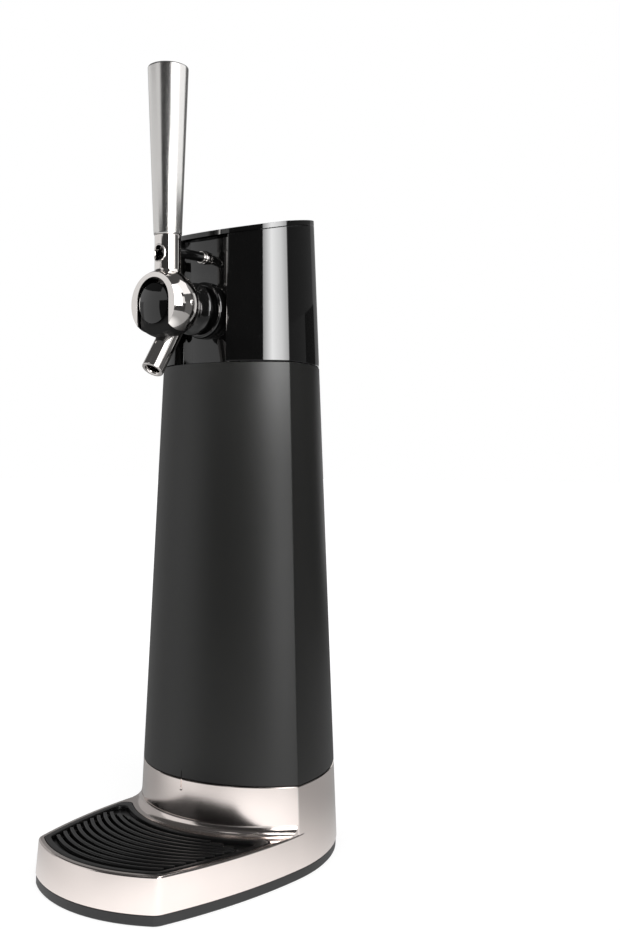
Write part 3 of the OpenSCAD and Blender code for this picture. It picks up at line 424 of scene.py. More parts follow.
# Feet and screws of the base
# Four rubber pads are glued into pockets of the bottom plate, and four zinc-plated screws go up
# through it into the housing.
rubber = moulded("pad rubber", (0.03, 0.03, 0.03), 0.75, 0.0008, 0.00005, ior=1.45)
zinc = moulded("zinc plating", (0.62, 0.62, 0.63), 0.3, 0.0005, 0.00001, metallic=1.0)
dress(rubber, "rubber_feet")
dress(zinc, "base_screws", "head_screws")


# Base housing
# Skirt, deck and collar are one moulding, plated in a satin champagne silver. A cove joins the collar
# to the deck, a rim inside the collar centres the tower, and a rebate in the deck takes the tray.
LIP_Z = 0.0273
LIP_ROUND = 0.0012
COVE = 0.0058
DECK = 0.0066
GAP = 0.0004
RIM_HEIGHT, RIM = 0.006, 0.002
TRAY_BORDER, TRAY_STRIP, TRAY_CORNER = 0.003, 0.0062, 0.005
FRAME_WIDTH, GRILLE, FLANGE, GRILLE_PROUD = 0.0042, 0.0024, 0.0012, 0.0004
REBATE = 2 * GAP + FLANGE + GRILLE - GRILLE_PROUD
WELL_INSET = FRAME_WIDTH + 0.0025
MARK_WIDTH, MARK_DEPTH, MARK_HEIGHT = 0.001, 0.0006, 0.005
DROP_RADIUS, DROP_CROWN, DROP_PROUD, DROP_SHOULDER, DROP_ROOT = 0.0012, 0.8, 0.0003, 0.0002, 0.001
EDGE = 0.0004
# How far a cutting block passes a face, a little or well clear of it, and what counts as one point
OVER, CLEAR, MERGE = 0.001, 0.01, 1e-7
WIDE_SIDES, SLIM_SIDES, FINE_SIDES = 96, 48, 32
LIP_STEPS, COVE_STEPS, COVE_SIDES, COVE_SWEEP = 4, 10, 120, 1.1
FRONT_STEPS, CREASE_STEPS = 48, 8
TRAY_STEPS = (32, 12, 24, 14, 32)

TRAY_SCALE = taper(LIP_Z) / FOOT_SCALE
TRAY_REAR_CENTRE = taper(LIP_Z) * FRONT_CENTRE
TRAY_REAR_RADIUS = taper(LIP_Z) * FRONT_RADIUS + TRAY_STRIP


def tower_plan(inset):
    radius = max(CREASE_RADIUS - inset, LEAST_RADIUS)
    crease = inner_tangent(FRONT_CENTRE, FRONT_RADIUS - inset, SIDE_CENTRE, SIDE_RADIUS - inset, radius)
    a, b = bearing(FRONT_CENTRE, crease), bearing(SIDE_CENTRE, crease)
    return both_halves(
        [FRONT_CENTRE - Vector((0, FRONT_RADIUS - inset))]
        + arc(FRONT_CENTRE, FRONT_RADIUS - inset, -math.pi / 2, a, FRONT_STEPS)
        + arc(crease, radius, a, b, CREASE_STEPS)
        + arc(SIDE_CENTRE, SIDE_RADIUS - inset, b, SIDE_TURN, SIDE_STEPS)
        + arc(REAR_CENTRE, REAR_RADIUS - inset, SIDE_TURN, math.pi / 2, REAR_STEPS))


def tower_ring(z, inset=0.0):
    k = taper(z)
    return [Vector((k * p.x, k * p.y + TOWER_Y, z)) for p in tower_plan(inset / k)]


def base_block(name, low, high, inset):
    return skin(name, [base_ring(low, inset), base_ring(high, inset)])


def tower_block(name, low, high, inset=0.0):
    return skin(name, [tower_ring(low, inset), tower_ring(high, inset)])


def tray_outline(inset):
    """The tray's edge: nose, flanks and a hollow rear that follows the collar, with round corners."""
    nose, nose_radius = TRAY_SCALE * NOSE_CENTRE, TRAY_SCALE * (NOSE_RADIUS - TRAY_BORDER) - inset
    flank, flank_radius = TRAY_SCALE * FLANK_CENTRE, TRAY_SCALE * (FLANK_RADIUS - TRAY_BORDER) - inset
    rear_radius = TRAY_REAR_RADIUS + inset
    radius = max(TRAY_SCALE * (CORNER_RADIUS - TRAY_BORDER) - inset, TRAY_CORNER)
    front = inner_tangent(nose, nose_radius, flank, flank_radius, radius)
    back = inner_tangent(TRAY_REAR_CENTRE, rear_radius + 2 * TRAY_CORNER, flank, flank_radius, TRAY_CORNER)
    turn = [bearing(nose, front), bearing(flank, front),
            bearing(flank, back), bearing(back, TRAY_REAR_CENTRE), bearing(TRAY_REAR_CENTRE, back)]
    half = ([nose - Vector((0, nose_radius))]
            + arc(nose, nose_radius, -math.pi / 2, turn[0], TRAY_STEPS[0])
            + arc(front, radius, turn[0], turn[1], TRAY_STEPS[1])
            + arc(flank, flank_radius, turn[1], turn[2], TRAY_STEPS[2])
            + arc(back, TRAY_CORNER, turn[2], turn[3], TRAY_STEPS[3])
            + arc(TRAY_REAR_CENTRE, rear_radius, turn[4], -math.pi / 2, TRAY_STEPS[4]))
    return [p + Vector((0, TOWER_Y)) for p in both_halves(half)]


def at_height(outline, z):
    return [Vector((p.x, p.y, z)) for p in outline]


def prism(name, outline, low, high):
    return skin(name, [at_height(outline, low), at_height(outline, high)])


def box(name, low, high):
    outline = [Vector((low[0], low[1])), Vector((high[0], low[1])),
               Vector((high[0], high[1])), Vector((low[0], high[1]))]
    return prism(name, outline, low[2], high[2])


def combine(piece, tool, how):
    """Combines a piece with a tool and uses up the tool."""
    step = piece.modifiers.new(how, "BOOLEAN")
    step.operation = how
    step.object = tool
    step.solver = "MANIFOLD"
    apply_steps(piece)
    piece.data.materials.clear()
    piece.data.polygons.foreach_set("material_index", [0] * len(piece.data.polygons))
    bpy.data.objects.remove(tool)
    return piece


def join(piece, tool):
    return combine(piece, tool, "UNION")


def cut(piece, tool):
    return combine(piece, tool, "DIFFERENCE")


def keep_inside(piece, tool):
    return combine(piece, tool, "INTERSECT")


def lathe(name, profile, place, axis, steps=WIDE_SIDES, sweep=None):
    """A profile of (radius, distance along axis) turned about an axis: whole, or through a sweep."""
    place, axis = Vector(place), Vector(axis).normalized()
    across = axis.orthogonal().normalized() if sweep is None else sweep[0]
    beside = axis.cross(across)
    start, end = (0, 2 * math.pi) if sweep is None else sweep[1]
    turns = [start + (end - start) * i / steps for i in range(steps if sweep is None else steps + 1)]
    rings = []
    for r, h in profile:
        rings.append([place + axis * h + r * (math.cos(t) * across + math.sin(t) * beside) for t in turns])
    if sweep is None:
        piece = skin(name, rings, loop=min(profile[0][0], profile[-1][0]) > 0)
    else:
        rows = [[ring[i] for ring in rings] for i in range(len(turns))]
        piece = skin(name, rows)
    body = bmesh.new()
    body.from_mesh(piece.data)
    bmesh.ops.remove_doubles(body, verts=body.verts, dist=MERGE)
    bmesh.ops.dissolve_degenerate(body, edges=body.edges, dist=MERGE)
    bmesh.ops.recalc_face_normals(body, faces=body.faces)
    body.to_mesh(piece.data)
    body.free()
    return piece


lip_turns = [math.pi / 2 * i / LIP_STEPS for i in range(LIP_STEPS + 1)]
housing = skin("housing", [base_ring(FOOT_HEIGHT, EDGE), base_ring(FOOT_HEIGHT + EDGE)] + [
    base_ring(LIP_Z - LIP_ROUND * (1 - math.sin(t)), LIP_ROUND * (1 - math.cos(t)), 0) for t in lip_turns])
collar_top = SEAM_Z - GAP / 2
collar = skin("collar", [tower_ring(LIP_Z - WALL, WALL / 2), tower_ring(LIP_Z),
                         tower_ring(collar_top - EDGE), tower_ring(collar_top, EDGE)])
cove_radius = taper(LIP_Z) * FRONT_RADIUS
cove_turns = [math.pi + math.pi / 2 * i / COVE_STEPS for i in range(COVE_STEPS + 1)]
cove_profile = [(cove_radius - WALL, -OVER), (cove_radius - WALL, COVE)]
cove_profile += [(cove_radius + COVE + COVE * math.cos(t), COVE + COVE * math.sin(t)) for t in cove_turns]
cove_profile += [(cove_radius + COVE, -OVER)]
cove = lathe("cove", cove_profile, (0, TOWER_Y + TRAY_REAR_CENTRE.y, LIP_Z), (0, 0, 1), COVE_SIDES,
             (Vector((0, -1, 0)), (-COVE_SWEEP, COVE_SWEEP)))
keep_inside(cove, base_block("cove limit", LIP_Z - 2 * OVER, LIP_Z + COVE + OVER, EDGE))
join(housing, collar)
join(housing, cove)
cut(housing, base_block("hollow", FOOT_HEIGHT - OVER, LIP_Z - DECK, WALL))
rim_outer, rim_inner = WALL + GAP, WALL + GAP + RIM
cut(housing, tower_block("well", LIP_Z - DECK - OVER, SEAM_Z + OVER, rim_outer + RIM / 2))
rim_low, rim_high = SEAM_Z - RIM_HEIGHT, SEAM_Z + RIM_HEIGHT
rim = skin("rim", [tower_ring(rim_low, rim_outer), tower_ring(rim_high, rim_outer),
                   tower_ring(rim_high, rim_inner), tower_ring(rim_low, rim_inner)], loop=True)
join(housing, rim)
cut(housing, prism("rebate", tray_outline(0), LIP_Z - REBATE, LIP_Z + CLEAR))
tray_hole = prism("tray hole", tray_outline(WELL_INSET - GAP), LIP_Z - DECK - OVER, LIP_Z + CLEAR)
cut(housing, tray_hole)
mark_y = TOWER_Y - FRONT_REACH * taper(SEAM_Z - MARK_HEIGHT)
cut(housing, box("mark", (-MARK_WIDTH / 2, mark_y - 2 * OVER, SEAM_Z - MARK_HEIGHT),
                 (MARK_WIDTH / 2, mark_y + MARK_DEPTH, SEAM_Z + OVER)))
drop_z = SEAM_Z - MARK_HEIGHT - DROP_RADIUS
drop_at = (0, TOWER_Y - FRONT_REACH * taper(drop_z), drop_z)
drop = lathe("drop", [(0, -DROP_PROUD), (DROP_CROWN * DROP_RADIUS, -DROP_SHOULDER), (DROP_RADIUS, DROP_ROOT),
                      (0, DROP_ROOT)], drop_at, (0, 1, 0), FINE_SIDES)
join(housing, drop)
champagne = moulded("champagne plating", (0.82, 0.743, 0.707), 0.15, 0.0003, 0.000004, 0.04, metallic=1.0)
fit_piece(housing, champagne, "base", "base_housing")


# Cup for the bottle
# A black moulded cup on three posts stands inside the collar, with a rubber pad for the bottle's foot
# and a rubber ring that seals the chamber tube.
inner_plastic = moulded("inner plastic", (0.022, 0.022, 0.023), 0.42, 0.0005, 0.00002)
dress(inner_plastic, "container_rest", "bulkhead", "battery_holder")
dress(rubber, "rest_pad", "base_seal", "tube_seal")


# Drip pan
# A black moulded pan with a fine grain hangs by its flange in the deck's rebate and catches the
# drips. It lifts straight out to be emptied.
tray_plastic = moulded("tray plastic", (0.006, 0.006, 0.006), 0.3, 0.0007, 0.00003)
dress(tray_plastic, "drip_pan")


# Drip grille
# One black moulding lies in the pan: a flat frame with round edges, and curved ribs that stand on
# lower bars and end a little inside the frame.
RIB_COUNT = 11
RIB_WIDTH = 0.0026
RIB_LOW = 0.0012
RIB_END = 0.0025
BAR_OVERLAP, BAR_ROUND, TOP_SUNK, TOP_ROUND = 0.0008, 0.0003, 0.0002, 0.0009
RIB_POINTS, RIB_CORNER_STEPS, RIB_ANGLE = 56, 4, 40
FLANK_FROM, LENGTH_STEP = 0.03, 0.0002
GRILLE_Z = LIP_Z - REBATE + 2 * GAP + FLANGE
FRAME_ROUND, ROUND_SHARE = 0.0007, 0.3

round_part = ROUND_SHARE * FRAME_ROUND
frame_profile = [
    (GAP, 0), (GAP, GRILLE - FRAME_ROUND), (GAP + round_part, GRILLE - round_part),
    (GAP + FRAME_ROUND, GRILLE), (FRAME_WIDTH - FRAME_ROUND, GRILLE),
    (FRAME_WIDTH - round_part, GRILLE - round_part), (FRAME_WIDTH, GRILLE - FRAME_ROUND), (FRAME_WIDTH, 0)]
grille = skin("grille", [at_height(tray_outline(inset), GRILLE_Z + rise) for inset, rise in frame_profile],
              loop=True)
rib_radius = TRAY_SCALE * (NOSE_RADIUS - TRAY_BORDER) - FRAME_WIDTH
rib_first = TRAY_SCALE * NOSE_CENTRE.y - rib_radius + TOWER_Y
rib_last = TRAY_REAR_CENTRE.y - TRAY_REAR_RADIUS - FRAME_WIDTH + TOWER_Y
rib_pitch = (rib_last - rib_first) / (RIB_COUNT + 1)


def half_length(front, outline):
    """How far a rib's arc runs to the side before it meets the outline."""
    edge = sorted((p.y, p.x) for p in outline if p.x > FLANK_FROM)
    x = 0.0
    while x < rib_radius:
        y = front + rib_radius - math.sqrt(rib_radius ** 2 - x * x)
        near = min(edge, key=lambda e: abs(e[0] - y))
        if x > near[1]:
            break
        x += LENGTH_STEP
    return x


def socket_named(tree, name):
    return next(s.identifier for s in tree.interface.items_tree if s.name == name)


rib_tree = bpy.data.node_groups.new("curved ribs", "GeometryNodeTree")
rib_tree.interface.new_socket("Points", in_out="INPUT", socket_type="NodeSocketGeometry")
for name in ("Arc radius", "Rib width", "Rib height", "Rib rounding"):
    rib_tree.interface.new_socket(name, in_out="INPUT", socket_type="NodeSocketFloat")
rib_tree.interface.new_socket("Rib material", in_out="INPUT", socket_type="NodeSocketMaterial")
rib_tree.interface.new_socket("Ribs", in_out="OUTPUT", socket_type="NodeSocketGeometry")


def rib_node(kind, inputs=None, **settings):
    return add_node(rib_tree, kind, inputs, **settings)


def rib_math(operation, *values):
    return math_node(rib_tree, operation, *values)


rib_sizes = rib_node("NodeGroupInput").outputs
line = rib_node("GeometryNodeCurvePrimitiveLine", {"Start": (-1, 0, 0), "End": (1, 0, 0)})
even = rib_node("GeometryNodeResampleCurve", {"Curve": line.outputs[0], "Count": RIB_POINTS})
lines = rib_node("GeometryNodeInstanceOnPoints", {"Points": rib_sizes["Points"], "Instance": even.outputs[0]})
plain_lines = rib_node("GeometryNodeRealizeInstances", {0: lines.outputs[0]})
half = rib_node("GeometryNodeInputNamedAttribute", {"Name": "half_length"}, data_type="FLOAT")
where = rib_node("ShaderNodeSeparateXYZ", {0: rib_node("GeometryNodeInputPosition").outputs[0]})
aside = rib_math("MULTIPLY", where.outputs["X"], half.outputs["Attribute"])
radius_squared = rib_math("MULTIPLY", rib_sizes["Arc radius"], rib_sizes["Arc radius"])
aside_squared = rib_math("MULTIPLY", aside, aside)
depth = rib_math("SQRT", rib_math("SUBTRACT", radius_squared, aside_squared))
back = rib_math("ADD", where.outputs["Y"], rib_math("SUBTRACT", rib_sizes["Arc radius"], depth))
bent = rib_node("ShaderNodeCombineXYZ", {"X": aside, "Y": back, "Z": where.outputs["Z"]})
bend = rib_node("GeometryNodeSetPosition", {"Geometry": plain_lines.outputs[0], "Position": bent.outputs[0]})
stand = rib_node("GeometryNodeSetCurveNormal", {"Curve": bend.outputs[0]}, mode="Z_UP")
section = rib_node("GeometryNodeCurvePrimitiveQuadrilateral", {
    "Width": rib_sizes["Rib width"], "Height": rib_sizes["Rib height"]})
rounded = rib_node("GeometryNodeFilletCurve", {
    "Curve": section.outputs[0], "Count": RIB_CORNER_STEPS, "Radius": rib_sizes["Rib rounding"]}, mode="POLY")
swept = rib_node("GeometryNodeCurveToMesh", {
    "Curve": stand.outputs[0], "Profile Curve": rounded.outputs[0], "Fill Caps": True})
plain_ribs = rib_node("GeometryNodeRealizeInstances", {0: swept.outputs[0]})
painted = rib_node("GeometryNodeSetMaterial", {
    "Geometry": plain_ribs.outputs[0], "Material": rib_sizes["Rib material"]})
rib_node("NodeGroupOutput", {"Ribs": painted.outputs[0]})


def rib_set(name, inset, low, high, rounding):
    fronts = [rib_first + rib_pitch * i for i in range(1, RIB_COUNT + 1)]
    ribs = polygons(name, [(0, y, (low + high) / 2) for y in fronts], [])
    outline = tray_outline(inset)
    lengths = ribs.data.attributes.new("half_length", "FLOAT", "POINT")
    lengths.data.foreach_set("value", [half_length(y, outline) for y in fronts])
    step = ribs.modifiers.new("ribs", "NODES")
    step.node_group = rib_tree
    for socket, value in (("Arc radius", rib_radius), ("Rib width", RIB_WIDTH), ("Rib height", high - low),
                          ("Rib rounding", rounding), ("Rib material", tray_plastic)):
        step[socket_named(rib_tree, socket)] = value
    apply_steps(ribs)
    return ribs


grille.data.materials.append(tray_plastic)
bars = rib_set("rib_bars", FRAME_WIDTH - BAR_OVERLAP, GRILLE_Z, GRILLE_Z + RIB_LOW, BAR_ROUND)
tops = rib_set("rib_tops", FRAME_WIDTH + RIB_END, GRILLE_Z + TOP_SUNK, GRILLE_Z + GRILLE, TOP_ROUND)
for piece in (grille, bars, tops):
    smooth(piece, RIB_ANGLE)
    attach(piece, "grille")
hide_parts("drip_grille")


# Casing of the tower
# One tapered moulding in charcoal plastic with a fine matte spark texture, with a front crease on
# each side. A short groove in its front lines up with the mark on the collar.
HEAD_Z = SEAM_Z + BODY_HEIGHT
CASING_STEPS = 12
GROOVE_DEPTH = 0.0007
casing_low, casing_high = SEAM_Z + GAP / 2, HEAD_Z - GAP / 2
casing_rise = casing_high - casing_low - 2 * EDGE
casing_rings = [tower_ring(casing_low, 2 * EDGE), tower_ring(casing_low + EDGE, EDGE / 2),
                tower_ring(casing_low + 2 * EDGE)]
casing_rings += [tower_ring(casing_low + EDGE + casing_rise * i / CASING_STEPS)
                 for i in range(1, CASING_STEPS)]
casing_rings += [tower_ring(casing_high - EDGE), tower_ring(casing_high, EDGE),
                 tower_ring(casing_high, WALL), tower_ring(casing_low, WALL)]
casing = skin("casing", casing_rings, loop=True)
cut(casing, box("groove", (-MARK_WIDTH / 3, mark_y - 3 * OVER, SEAM_Z - OVER),
                (MARK_WIDTH / 3, mark_y + GROOVE_DEPTH, SEAM_Z + MARK_HEIGHT)))
charcoal = moulded("charcoal plastic", (0.012, 0.012, 0.0112), 0.42, 0.00035, 0.00002, 0.08)
fit_piece(casing, charcoal, "tower", "body_shell")


# Chamber
# A drawn tube of clear-lacquered steel hangs from the bulkhead, sealed by a flat ring, with the dip
# tube of pale plastic in its middle. The two lines in the head are of the same plastic.
dress(moulded("chamber steel", (0.55, 0.56, 0.57), 0.28, 0.0006, 0.00001, metallic=1.0), "chamber_tube")
line_plastic = moulded("line plastic", (0.62, 0.64, 0.65), 0.3, 0.0006, 0.00001)
dress(line_plastic, "dip_tube", "beer_hose", "air_hose")


# Head
# The gloss black head is a moulding with a recess in its front for the tap. Its top is cut on a slope,
# and screws from below clamp it to the bulkhead and the casing.
HEAD_HEIGHT = 0.0827
HEAD_SLOPE = math.radians(11.7)
CAP, CAP_SKIRT = 0.003, 0.004
RECESS_WIDTH, RECESS_DEPTH, RECESS_TOP = 0.0414, 0.0089, 0.002
FASCIA, FASCIA_RIM = 0.003, 0.002
TOP_Z = HEAD_Z + HEAD_HEIGHT
TOP_Y = TOWER_Y - FRONT_REACH * taper(TOP_Z)
FASCIA_Y = TOWER_Y + RECESS_DEPTH - FRONT_REACH * TOP_SCALE
RECESS_HEIGHT = HEAD_HEIGHT - CAP - GAP - RECESS_TOP
HEAD_TALLEST = TOP_Z + 0.03
FAR = 0.2
EDGE_SEGMENTS, EDGE_ANGLE = 3, math.radians(40)


def under_slope(drop):
    """A block whose upper face lies below the sloped top by drop."""
    block = box("slope", (-FAR, -FAR, -2 * FAR), (FAR, FAR, -drop))
    block.data.transform(Matrix.Translation((0, TOP_Y, TOP_Z)) @ Matrix.Rotation(HEAD_SLOPE, 4, "X"))
    return block


def recess_half(z):
    return RECESS_WIDTH / 2 * taper(z) / taper(TOP_Z)


def tapered_block(name, margin, far, low, high):
    """A block as wide as the recess, which narrows upwards as the tower does."""
    rings = []
    for z in (low, high):
        w = recess_half(z) + margin
        rings.append([Vector((-w, -FAR, z)), Vector((w, -FAR, z)), Vector((w, far, z)), Vector((-w, far, z))])
    return skin(name, rings)


def round_edges(piece, width):
    ease = piece.modifiers.new("edges", "BEVEL")
    ease.limit_method = "ANGLE"
    ease.angle_limit = EDGE_ANGLE
    ease.width = width
    ease.segments = EDGE_SEGMENTS
    apply_steps(piece)


head_foot = HEAD_Z + GAP / 2
surround_back = FASCIA_Y + FASCIA + FASCIA_RIM
head = skin("head", [tower_ring(head_foot, EDGE), tower_ring(head_foot + EDGE), tower_ring(HEAD_TALLEST)])
cut(head, tower_block("head hollow", HEAD_Z - OVER, HEAD_TALLEST + OVER, WALL))
surround = tower_block("surround", head_foot + EDGE, HEAD_TALLEST, EDGE)
keep_inside(surround, tapered_block("surround limit", WALL, surround_back, HEAD_Z, TOP_Z))
join(head, surround)
keep_inside(head, under_slope(CAP + GAP))
cut(head, tapered_block("recess", 0, FASCIA_Y + FASCIA, HEAD_Z - OVER, HEAD_TALLEST))
window_half, window_top = RECESS_WIDTH / 2 - FASCIA_RIM, HEAD_Z + RECESS_HEIGHT - FASCIA_RIM
cut(head, box("window", (-window_half, FASCIA_Y, HEAD_Z - OVER),
              (window_half, surround_back + FASCIA_RIM, window_top)))
piano_black = moulded("piano black", (0.004, 0.004, 0.004), 0.04, 0.004, 0.000002, 0.3, ior=1.6)
round_edges(head, EDGE)
fit_piece(head, piano_black, "tower", "head_shell")


# Fascia
# A slightly crowned gloss plate closes the recess behind the tap. The shank's thread and the bush of
# the push rod pass through it.
CROWN_RADIUS, CROWN_STEPS = 0.085, 32
FASCIA_TOP = 0.0026
ROD_HOLE, THREAD_RADIUS, FIT = 0.0042, 0.007, 0.00005
TAP_REACH = 0.03565
BALL_RISE, ROD_RISE = 0.0335, 0.0338
INWARD, UP = Vector((0, 1, 0)), Vector((0, 0, 1))
BALL_AT = Vector((0, FASCIA_Y - TAP_REACH, HEAD_Z + BALL_RISE))


def fascia_ring(z):
    w, back = recess_half(z) - FIT, FASCIA_Y + FASCIA
    xs = [-w + 2 * w * i / CROWN_STEPS for i in range(CROWN_STEPS + 1)]
    crown = [Vector((x, FASCIA_Y + CROWN_RADIUS - math.sqrt(CROWN_RADIUS ** 2 - x * x), z)) for x in xs]
    return crown + [Vector((w, back, z)), Vector((-w, back, z))]


def drill(name, radius, near, far, place, axis, steps=SLIM_SIDES):
    """A plain round bar along an axis, to cut with."""
    return lathe(name, [(0, near), (radius, near), (radius, far), (0, far)], place, axis, steps)


fascia = skin("fascia", [fascia_ring(head_foot), fascia_ring(TOP_Z - FASCIA_TOP)])
for name, radius, rise in (("thread hole", THREAD_RADIUS, 0), ("bush hole", ROD_HOLE, ROD_RISE)):
    hole = drill(name, radius + FIT, TAP_REACH - CLEAR, TAP_REACH + CLEAR, BALL_AT + rise * UP, INWARD)
    cut(fascia, hole)
fit_piece(fascia, piano_black, "tower", "tap_fascia")


# Cap
# A gloss black lid over the batteries, moulded like the head, follows its sloped top. It plugs into
# the head with a skirt and is held by friction.
SKIRT_OVERLAP = 0.0005
cap_low, skirt_inset = HEAD_Z + HEAD_HEIGHT / 2, WALL + 2 * GAP
cap = keep_inside(tower_block("cap", cap_low, HEAD_TALLEST), under_slope(0))
cut(cap, under_slope(CAP))
skirt = tower_block("cap skirt", cap_low, HEAD_TALLEST, skirt_inset)
keep_inside(skirt, under_slope(CAP - SKIRT_OVERLAP))
cut(skirt, under_slope(CAP + CAP_SKIRT))
cut(skirt, tower_block("skirt hollow", HEAD_Z, HEAD_TALLEST + CLEAR, skirt_inset + WALL))
gap_half = RECESS_WIDTH / 2 + WALL + GAP
cut(skirt, box("skirt gap", (-gap_half, -FAR, HEAD_Z),
               (gap_half, surround_back + 2 * GAP, HEAD_TALLEST + FAR / 2)))
join(cap, skirt)
round_edges(cap, EDGE)
fit_piece(cap, piano_black, "cap", "head_cap")


# Tap body
# The shank and its flange are turned in black, drawn tight by a nut behind the fascia, and the core
# with its glossy disc is moulded. The spout and the bush of the push rod are chrome-plated brass.
SHANK_RADIUS, SHANK_RIM, SHANK_BORE, SHANK_END, SHANK_EASE = 0.0108, 0.0165, 0.004, 0.0581, 0.0007
CORE_BACK, RIM_AT, RIM_FLARE, RIM_EDGE, RIM_LENGTH, RIM_BACK = 0.0146, 0.0221, 0.0035, 0.0013, 0.0041, 0.001
FLANGE_RADIUS, FLANGE_LENGTH, FLANGE_ROUND, FLANGE_CORNER, FLANGE_EASE = 0.018, 0.005, 0.002, 0.0006, 0.0005
DISC_RADIUS, DISC_LENGTH, DISC_FRONT, DISC_DOME, DISC_STEPS = 0.0122, 0.0025, 0.0106, 0.0018, 16
CORE_RADIUS, CORE_STEP, CORE_WIDE, CORE_NARROW, CORE_EASE = 0.0129, 0.0005, 0.005, 0.009, 0.002
CHIN_RADIUS, CHIN_HALF, CHIN_PAST, CHIN_STEPS = 0.0206, 0.0124, 0.03, 48
SPOUT_TILT = math.radians(33)
SPOUT_TIP = BALL_AT + Vector((0, -0.0104, -0.0405))
SPOUT_AXIS = Vector((0, math.sin(SPOUT_TILT), math.cos(SPOUT_TILT)))
SPOUT_RADIUS, SPOUT_BORE, SPOUT_LENGTH, SPOUT_CHAMFER, SPOUT_EASE = 0.0068, 0.004, 0.034, 0.001, 0.0007
ROD_RADIUS, BUSH_RADIUS, BUSH_LENGTH, BUSH_TAIL, BUSH_EASE = 0.0031, 0.0039, 0.0045, 0.0025, 0.0004
WAIST_SHARE, SHOULDER_SHARE, WAIST_DEPTH = 0.15, 0.2, 0.0005
EASE_STEPS, EASE_SHARE = 5, 0.45


def eased(points, radius, closed=False):
    """The same profile with its corners rounded."""
    points = [Vector(p) for p in points]
    out = []
    for i, here in enumerate(points):
        if not closed and i in (0, len(points) - 1):
            out.append(here)
            continue
        before, after = points[i - 1] - here, points[(i + 1) % len(points)] - here
        reach = min(radius, before.length * EASE_SHARE, after.length * EASE_SHARE)
        start, end = here + before.normalized() * reach, here + after.normalized() * reach
        for k in range(EASE_STEPS + 1):
            t = k / EASE_STEPS
            out.append(start * (1 - t) ** 2 + here * (2 * t * (1 - t)) + end * t ** 2)
    return [(p.x, p.y) for p in out]


tap_black = moulded("tap plastic", (0.006, 0.006, 0.006), 0.10, 0.002, 0.000004, 0.2)
chrome = moulded("chrome plating", (0.80, 0.765, 0.74), 0.07, 0.003, 0.000002, 0.02, metallic=1.0)
dress(tap_black, "push_rod")
dress(zinc, "shank_nut", "handle_stud", "rod_magnet", "pump_motor", "battery_contacts")
rim_end = RIM_AT + RIM_LENGTH
shank = lathe("shank", eased([
    (SHANK_BORE, CORE_BACK), (SHANK_RADIUS, CORE_BACK), (SHANK_RADIUS, RIM_AT - RIM_FLARE),
    (SHANK_RIM - RIM_EDGE, RIM_AT), (SHANK_RIM, RIM_AT + RIM_EDGE), (SHANK_RIM, rim_end - RIM_EDGE),
    (SHANK_RIM - RIM_EDGE, rim_end), (SHANK_RADIUS, rim_end + RIM_BACK), (SHANK_RADIUS, TAP_REACH),
    (THREAD_RADIUS, TAP_REACH), (THREAD_RADIUS, SHANK_END), (SHANK_BORE, SHANK_END)],
    SHANK_EASE, True), BALL_AT, INWARD)
fit_piece(shank, tap_black, "tower", "tap_shank")
flange_face = TAP_REACH - FLANGE_LENGTH
flange = lathe("flange", eased([
    (SHANK_RADIUS + FIT, flange_face), (FLANGE_RADIUS - FLANGE_ROUND, flange_face),
    (FLANGE_RADIUS - FLANGE_CORNER, flange_face + FLANGE_CORNER), (FLANGE_RADIUS, flange_face + FLANGE_ROUND),
    (FLANGE_RADIUS, TAP_REACH), (SHANK_RADIUS + FIT, TAP_REACH)], FLANGE_EASE, True), BALL_AT, INWARD)
fit_piece(flange, piano_black, "tower", "shank_flange")
core_face = DISC_LENGTH - DISC_FRONT
core = lathe("core", eased([
    (0, core_face), (DISC_RADIUS - CORE_STEP, core_face), (CORE_RADIUS, 0), (CORE_RADIUS, CORE_WIDE),
    (SHANK_RADIUS, CORE_NARROW), (SHANK_RADIUS, CORE_BACK), (0, CORE_BACK)], CORE_EASE), BALL_AT, INWARD)
chin_turns = [math.pi * i / CHIN_STEPS for i in range(CHIN_STEPS + 1)]
chin_profile = [(max(CHIN_RADIUS * math.sin(t), 0), -CHIN_RADIUS * math.cos(t)) for t in chin_turns]
chin = lathe("chin", chin_profile, BALL_AT, INWARD)
keep_inside(chin, box("chin limit", BALL_AT + Vector((-CHIN_HALF, core_face, -CHIN_PAST)),
                      BALL_AT + Vector((CHIN_HALF, CHIN_PAST, 0))))
join(core, chin)
core_plastic = moulded("core plastic", (0.004, 0.004, 0.004), 0.55, 0.0006, 0.00001, 0.2, ior=1.35)
fit_piece(core, core_plastic, "tower", "tap_core")
dome_shares = [i / DISC_STEPS for i in range(DISC_STEPS + 1)]
dome = [(DISC_RADIUS * share, DISC_DOME * (share ** 2 - 0.5) - DISC_FRONT) for share in dome_shares]
disc = lathe("disc", dome + [(DISC_RADIUS, core_face), (0, core_face)], BALL_AT, INWARD)
fit_piece(disc, piano_black, "tower", "front_disc")
spout = lathe("spout_tube", eased([
    (SPOUT_BORE, SPOUT_LENGTH), (SPOUT_BORE, SPOUT_CHAMFER), (SPOUT_BORE + SPOUT_CHAMFER, 0),
    (SPOUT_RADIUS, 0), (SPOUT_RADIUS, SPOUT_LENGTH)], SPOUT_EASE, True), SPOUT_TIP, SPOUT_AXIS)
fit_piece(spout, chrome, "tower", "spout")
bush_end = TAP_REACH + FASCIA + BUSH_TAIL
bush_face, half_bush = TAP_REACH - BUSH_LENGTH, BUSH_LENGTH / 2
